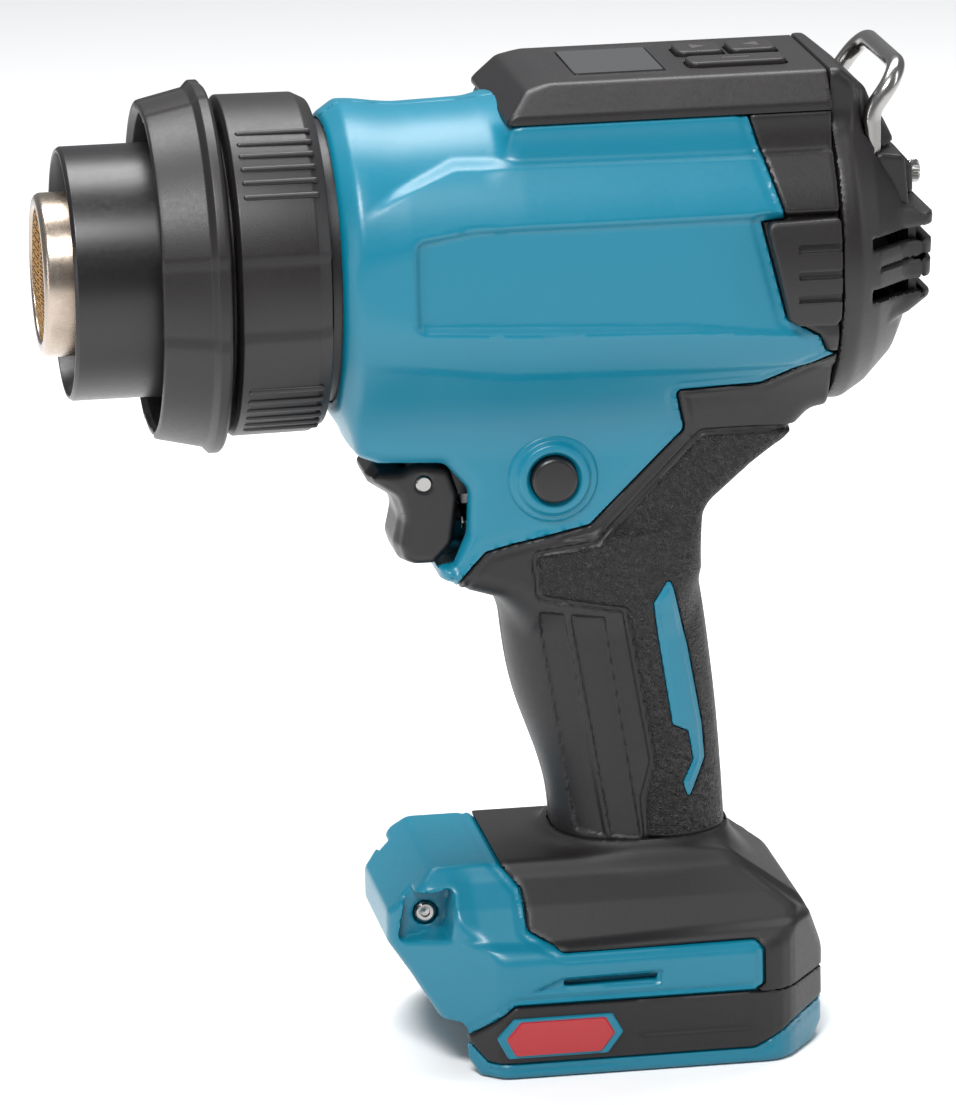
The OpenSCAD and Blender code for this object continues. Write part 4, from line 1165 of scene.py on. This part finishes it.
class Muzzle:
    """Guard, grip ring, nozzle cover, outlet tube and its woven mesh."""

    @staticmethod
    def facet(angle: float, place: float, radius: float) -> float:
        """A flat set into the sides of the guard and ring."""
        if radius < 35.2:
            return 0.0
        turn = (math.degrees(angle) + 45) % (180 if place > -58.5 else 90) - 45
        return 0.65 if abs(turn) < 12.5 else 0.0

    def build(self, maker: Maker, repeats: Repeats) -> None:
        """Adds the pieces."""
        guard = [
            (27.95, -65.5), (34.6, -67.5), (34.6, -73.2, 0.6), (35.7, -74.5, 0.5), (37.0, -74.3, 0.6),
            (37.3, -73.2), (39.4, -64, 0.8), (40.3, -63.2, 0.4), (40.9, -62.6, 0.5), (40.9, -60.7, 0.5),
            (40.2, -60.0, 0.5), (37.6, -59.6, 0.8), (35.8, -59, 0.3), (31, -59), (31, -32.4), (28.6, -32.4),
            (28.6, -62.5), (27.95, -62.5)]
        body = turned(guard, sides=180, dent=self.facet)
        maker.add("guard_body", body, CHARCOAL, "black_plastic", ("heat_guard",), crease=30)
        ring = [
            (31.05, -58), (36.2, -58, 0.5), (37.4, -57.2, 0.6), (37.2, -40.6, 1.5), (35.6, -37.5, 0.8),
            (31.05, -37.5)]
        body = turned(ring, sides=180, dent=self.facet)
        maker.add("ring_body", body, CHARCOAL, "black_plastic", ("lock_ring",), "ring", 30)
        rib = Net((-56.5, -1.4, -1.2), (-38.6, 1.4, 1.2), 0.3).build(self.rib)
        starts = {
            "ring_ribs_left_high": 35, "ring_ribs_left_low": -61.5, "ring_ribs_right_low": 215,
            "ring_ribs_right_high": 118.5}
        for name, start in starts.items():
            ribs = repeats.ring(name, rib, 6, 37.1, start, 5.3, CHARCOAL)
            maker.tie(ribs, (), "ring")
        cover = [
            (26.5, -91.6), (26.6, -92.4, 0.2), (27.2, -92.45, 0.3), (27.8, -91.6, 0.5), (27.8, -62.5),
            (26.0, -62.5), (26.0, -90)]
        maker.add("nozzle_sleeve", turned(cover, sides=160), SATIN, "satin_black", ("nozzle_cover",))
        tube = [
            (18.0, -65.5), (18.0, -97.9, 3.0), (14.7, -97.9, 0.9), (14.7, -96.6, 0.5), (15.3, -96.4),
            (17.2, -94.6, 1.2), (17.2, -37), (18.6, -37), (18.6, -64.5)]
        maker.add("outlet_sleeve", turned(tube, sides=144), HOT, "hot_steel", ("outlet_tube",))
        mesh = repeats.weave("outlet_weave", 0.92, 15.1, 0.2, 1.35, -96.75, WEAVE)
        maker.tie(mesh, ("outlet_mesh",), "housing")

    @staticmethod
    def rib(x: Array, y: Array, z: Array) -> Array:
        """A rounded bar along the gun."""
        along = np.maximum(np.abs(x + 47.6) - 7.6, 0)
        return np.sqrt(along**2 + y**2 + z**2) - 0.72


class Controls:
    """Trigger, its pin, the lock button and its collar."""

    pin = (-15.4, 130.5)
    side = Outline([
        (-25.9, 134.9, 1.2), (-27.9, 132.3, 1.0), (-27.2, 130.4, 1.0), (-22, 126.9, 3), (-20.5, 122.5, 4),
        (-21.9, 116.1, 3), (-20.6, 112.1, 2), (-13, 112.1, 2), (-9, 116.5, 3), (-7.5, 127.5, 3),
        (-9.6, 134.1, 2.5), (-15.4, 135, 3)])
    room = Outline([(-19.6, 116.5), (-19.2, 122.5), (-20.3, 127.5), (-20.3, 150), (10, 150), (10, 116.5)])

    def trigger(self, x: Array, y: Array, z: Array) -> Array:
        """The hollow trigger with its rounded front and finger scoop."""
        away = np.abs(y)
        front = self.side(x, z) + 1.2 * ramp((away - 5.5) / 6) * ramp((-17 - x) / 4)
        body = smooth_max(front, away - 12, 2.2)
        body = np.maximum(body, -np.maximum(self.room(x, z), away - 9.8))
        return np.maximum(body, 1.85 - np.hypot(x - self.pin[0], z - self.pin[1]))

    def build(self, maker: Maker) -> None:
        """Adds the pieces."""
        shape = Net((-29, -13, 111), (-6.5, 13, 136), 0.5).build(self.trigger)
        maker.add("trigger_shell", shape, TRIGGER, "trigger_plastic", ("trigger",), body="trigger")
        rod = [(0.05, -12.3), (1.5, -12.3), (1.8, -12.0), (1.8, 12.0), (1.5, 12.3), (0.05, 12.3)]
        shape = turned(rod, Axis.ACROSS, self.pin, 32)
        maker.add("trigger_pivot", shape, STEEL, "bright_steel", ("trigger_pin",))
        collar = [
            (5.3, 12.6), (5.3, 18.5, 0.6), (6.2, 19.5, 0.7), (7.6, 19.4, 0.8), (8.5, 18.2, 0.6),
            (9.5, 18.1, 0.7), (10.4, 16.9, 0.8), (10.6, 15.2), (6.7, 15.0), (6.7, 12.6)]
        shape = turned(collar, Axis.ACROSS, LOCK, 72)
        maker.add("lock_boss", shape, TEAL, "teal_plastic", ("lock_collar",))
        button = [
            (0.05, 4.6), (2.5, 4.6), (2.5, 13), (5.15, 13), (5.15, 20.3, 0.9), (4.4, 20.85, 0.8),
            (0.05, 20.9)]
        shape = turned(button, Axis.ACROSS, LOCK, 56)
        maker.add("lock_plunger", shape, TRIGGER, "black_plastic", ("lock_button",), body="lock_button")


class Base:
    """The battery base: coloured shell, soft cover and bumpers, badges and screws."""

    side = Outline([
        (-9, 0), (-22.4, 21), (-27, 27.5, 2), (-27, 34.5, 2), (-16.4, 45.7, 3), (49.3, 45.7, 6),
        (66.7, 32.7, 8), (71.3, 21, 6), (71.3, 3.5, 2), (67.8, 0, 2)])
    plan = Outline([
        (-28, 17, 3), (-4, 39, 6), (59.3, 39, 10), (72.3, 20, 10), (72.3, -20, 10), (59.3, -39, 10),
        (-4, -39, 6), (-28, -17, 3)])
    section = Outline([
        (-39, -8), (-39, 27, 4), (-29, 37.7, 5), (-20, 45.7, 4), (20, 45.7, 4), (29, 37.7, 5), (39, 27, 4),
        (39, -8)])
    dark = Outline([
        (-2.6, 80), (-2.6, 45.7), (2.3, 39.9), (2.6, 36.5), (2.5, 32.4, 1), (9.9, 28.4, 1), (53, 28.6, 1.5),
        (54.6, 26.5, 1), (54.6, 18.6, 1), (52.4, 17.1, 1), (-1.4, 17.0, 1.5), (-11.6, 8.6, 1),
        (-7.3, 3.8, 1), (52.3, 3.9, 2), (61.5, 8.6, 2), (90, 12), (90, 80)])
    recess = Outline([(2.2, 20.0), (9.4, 22.8), (31.6, 23.3), (31.2, 20.2)])
    slit = Outline([(9.2, 20.8), (9.8, 22.2), (30.6, 22.7), (30.6, 21.1)])
    pocket = Outline([(-24.5, 28, 1), (-14, 30.5, 1), (-12.5, 41, 1), (-22.5, 39.5, 1)])
    screw = (-18.0, 33.7)
    badge = [
        (-3.8, 10, 0.6), (-0.5, 13.8, 0.6), (18.5, 13.8, 0.6), (20.6, 10, 0.6), (17.6, 6, 0.6), (-1.7, 6, 0.6)]

    def form(self, x: Array, y: Array, z: Array) -> Array:
        """The outside of the base."""
        body = smooth_max(smooth_max(self.side(x, z), self.plan(x, y), 1.6), self.section(y, z), 1.6)
        fall = np.interp(x, (-12, 4, 60), (29.5, 28.8, 30.5))
        return body + 1.1 * ramp((z - fall) / 1.6) * ramp((y - 20) / 3) * ramp((x + 14) / 6)

    def shell(self, x: Array, y: Array, z: Array) -> Array:
        """The coloured shell, set back under the soft parts."""
        form = self.form(x, y, z)
        dark = self.dark(x, z)
        body = form + 0.25 + groove(dark, 1.4, 0.8, 0.38)
        body = smooth_max(body, np.minimum(STEP - dark, form + 1.5), 0.9)
        body = carve(body, largest(self.recess(x, z), 37.6 - y))
        body = carve(body, largest(self.slit(x, z), 34.5 - y), 0.4)
        body = carve(body, largest(self.pocket(x, z), 17.6 - y), 1.2)
        bore = np.hypot(x - self.screw[0], z - self.screw[1]) - 2.9
        body = np.maximum(body, -np.maximum(bore, 15.5 - y))
        body = np.maximum(body, -largest(x - 60.8, y - 31, z - 12))
        return largest(body, 0.02 - z)

    def soft(self, x: Array, y: Array, z: Array) -> Array:
        """The dark outer layer, sweeping up to the handle."""
        form = self.form(x, y, z)
        handle = SKIN.handle(x, y, z)
        outer = smooth_min(form, np.maximum(handle, z - 50), 7)
        outer = np.maximum(outer, z - 47.6)
        layer = smooth_max(outer, self.dark(x, z) + STEP, 0.8)
        layer = np.maximum(layer, -(form + 2.6))
        lengthwise = ramp((x - 24) / 4) * (1 - ramp((x - 50) / 3))
        crease = 0.5 * ramp((z - 8) / 1.2) * ramp((17 - z) / 2) * lengthwise
        return np.maximum(layer + crease * ramp((y - 36) / 1.5), -largest(handle - 0.1, 45.8 - z))

    def build(self, maker: Maker) -> None:
        """Adds the pieces."""
        net = Net((-28.2, -40.2, -0.9), (72.6, 40.2, 47), 0.72)
        shape = net.build(lambda x, y, z: self.shell(x, np.abs(y), z))
        maker.add("base_housing", shape, TEAL, "teal_plastic", ("base_shell",))
        net = Net((-4.5, -40.2, 15.8), (72.6, 40.2, 49), 0.72)
        shape = net.build(lambda x, y, z: np.maximum(self.soft(x, np.abs(y), z), 16.9 - z))
        maker.add("base_soft_cover", shape, RUBBER, "soft_grip", ("base_cover",))
        net = Net((-13, 15, 2), (72.6, 40.2, 17.6), 0.6)
        shape = net.build(lambda x, y, z: largest(self.soft(x, y, z), z - 16.8, 22 - y))
        maker.add("base_bumper_strips", both(shape), RUBBER, "soft_grip", ("base_bumpers",))
        plate = prism(self.badge, 38.2, 39.75, 0.4)
        middle = np.mean([p[:2] for p in self.badge], axis=0)
        grown = [(*(middle + (np.array(p[:2]) - middle) * 1.16), 0.8) for p in self.badge]
        frame_plate = prism(grown, 38.0, 39.35, 0.35)
        maker.add("badge_plates", plate.plus(plate.mirrored()), BADGE, "red_badge", ("base_badges",))
        maker.add("badge_frames", frame_plate.plus(frame_plate.mirrored()), TEAL, "teal_plastic")
        head = [
            (0.1, 8.0), (1.4, 8.0), (1.4, 15.6), (2.7, 15.6), (2.65, 16.9, 0.5), (1.9, 17.6, 0.4), (1.1, 17.5),
            (1.0, 16.6), (0.1, 16.5)]
        screw = turned(head, Axis.ACROSS, self.screw, 32)
        maker.add("base_screw_pair", screw.plus(screw.mirrored()), STEEL, "bright_steel", ("base_screws",))


# ---------------------------------------------------------------- inside, light and view


INSIDE: dict[str, tuple[Finish, str]] = {
    "display_module": (LCD, "lcd_grey"),
    "panel_board": (BOARD, "circuit_board"),
    "control_board": (BOARD, "circuit_board"),
    "tube_flange": (HOT, "hot_steel"),
    "mica_sleeve": (MICA, "mica"),
    "heater_core": (MICA, "mica"),
    "heating_coils": (WIRE, "heating_wire"),
    "thermocouple": (STEEL, "bright_steel"),
    "air_guide": (CHARCOAL, "black_plastic"),
    "motor": (MOTOR, "motor_can"),
    "fan_wheel": (CHARCOAL, "black_plastic"),
    "motor_shaft": (STEEL, "bright_steel"),
    "trigger_switch": (TRIGGER, "black_plastic"),
    "switch_plunger": (KEY, "key_rubber"),
    "trigger_spring": (STEEL, "bright_steel"),
    "rail_plate": (CHARCOAL, "black_plastic"),
    "terminal_block": (CHARCOAL, "black_plastic"),
    "battery_contacts": (BRASS, "contact_brass"),
    "housing_screws": (STEEL, "bright_steel"),
}


@dataclass(frozen=True)
class Camera:
    """The view: turned left of the side, looking down, far away."""

    azimuth: float = -8.9
    elevation: float = 15.0
    roll: float = 1.15
    distance: float = 1.6667
    lens: float = 244.34
    target: tuple[float, float, float] = (-0.0018, 0.0, 0.111)

    def build(self) -> None:
        """Adds the camera."""
        a, e, r = (math.radians(v) for v in (self.azimuth, self.elevation, self.roll))
        back = Vector((math.sin(a) * math.cos(e), -math.cos(a) * math.cos(e), math.sin(e)))
        right = Vector((math.cos(a), math.sin(a), 0))
        up = back.cross(right)
        across = math.cos(r) * right - math.sin(r) * up
        over = math.sin(r) * right + math.cos(r) * up
        data = bpy.data.cameras.new("camera")
        data.lens, data.sensor_width, data.clip_end = self.lens, 36.0, 20.0
        obj = bpy.data.objects.new("camera", data)
        place = Vector(self.target) + self.distance * back
        obj.matrix_world = Matrix(
            [(across[i], over[i], back[i], place[i]) for i in range(3)] + [(0, 0, 0, 1)]
        )
        bpy.context.scene.collection.objects.link(obj)
        bpy.context.scene.camera = obj


@dataclass(frozen=True)
class Lamp:
    """A soft rectangular light that faces the gun."""

    name: str
    place: tuple[float, float, float]
    size: tuple[float, float]
    power: float

    def build(self) -> None:
        """Adds the lamp."""
        data = bpy.data.lights.new(self.name, "AREA")
        data.shape, data.size, data.size_y, data.energy = "RECTANGLE", *self.size, self.power
        obj = bpy.data.objects.new(self.name, data)
        towards = Vector((0, 0, 0.12)) - Vector(self.place)
        turn = towards.to_track_quat("-Z", "Y").to_matrix().to_4x4()
        obj.matrix_world = Matrix.Translation(self.place) @ turn
        bpy.context.scene.collection.objects.link(obj)


LAMPS = (
    Lamp("key light", (-0.35, -0.8, 1.2), (0.5, 0.3), 19.0),
    Lamp("front strip", (-1.2, -0.6, 0.3), (0.2, 0.8), 2.4),
    Lamp("rear rim", (0.95, -0.4, 0.6), (0.2, 0.8), 2.4),
    Lamp("top light", (0.0, 0.4, 1.3), (1.2, 0.6), 24.0),
)


class Studio:
    """Pale floor, soft light and camera."""

    def build(self) -> None:
        """Adds the stage."""
        world = bpy.context.scene.world or bpy.data.worlds.new("studio")
        bpy.context.scene.world = world
        world.use_nodes = True
        n = Nodes(world.node_tree)
        sky = n.add("ShaderNodeBackground", None, {"Color": (0.95, 0.97, 1.0, 1.0), "Strength": 0.30})
        n.add("ShaderNodeOutputWorld", None, {"Surface": sky})
        mesh = bpy.data.meshes.new("floor")
        mesh.from_pydata([(-4, -4, 0), (4, -4, 0), (4, 4, 0), (-4, 4, 0)], [], [(0, 1, 2, 3)])
        mesh.materials.append(FLOOR.build())
        floor = bpy.data.objects.new("floor", mesh)
        bpy.context.scene.collection.objects.link(floor)
        bpy.context.scene.view_settings.view_transform = "Standard"
        for lamp in LAMPS:
            lamp.build()
        Camera().build()


def finish_inside() -> None:
    """Gives every CAD node that stays visible its finish."""
    for name, (finish, slot) in INSIDE.items():
        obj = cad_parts[name]
        obj.data.materials.clear()
        obj.data.materials.append(finish.build())


def main() -> None:
    logging.basicConfig(level=logging.INFO, format="%(message)s")
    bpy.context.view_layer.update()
    maker = Maker()
    repeats = Repeats(maker)
    for side in (-1, 1):
        HousingHalf(side).build(maker)
        GripHalf(side).build(maker)
    SideParts().build(maker)
    RearEnd().build(maker, repeats)
    Panel().build(maker)
    Muzzle().build(maker, repeats)
    Controls().build(maker)
    Base().build(maker)
    finish_inside()
    Studio().build()
    bpy.context.view_layer.update()


if __name__ == "__main__":
    main()
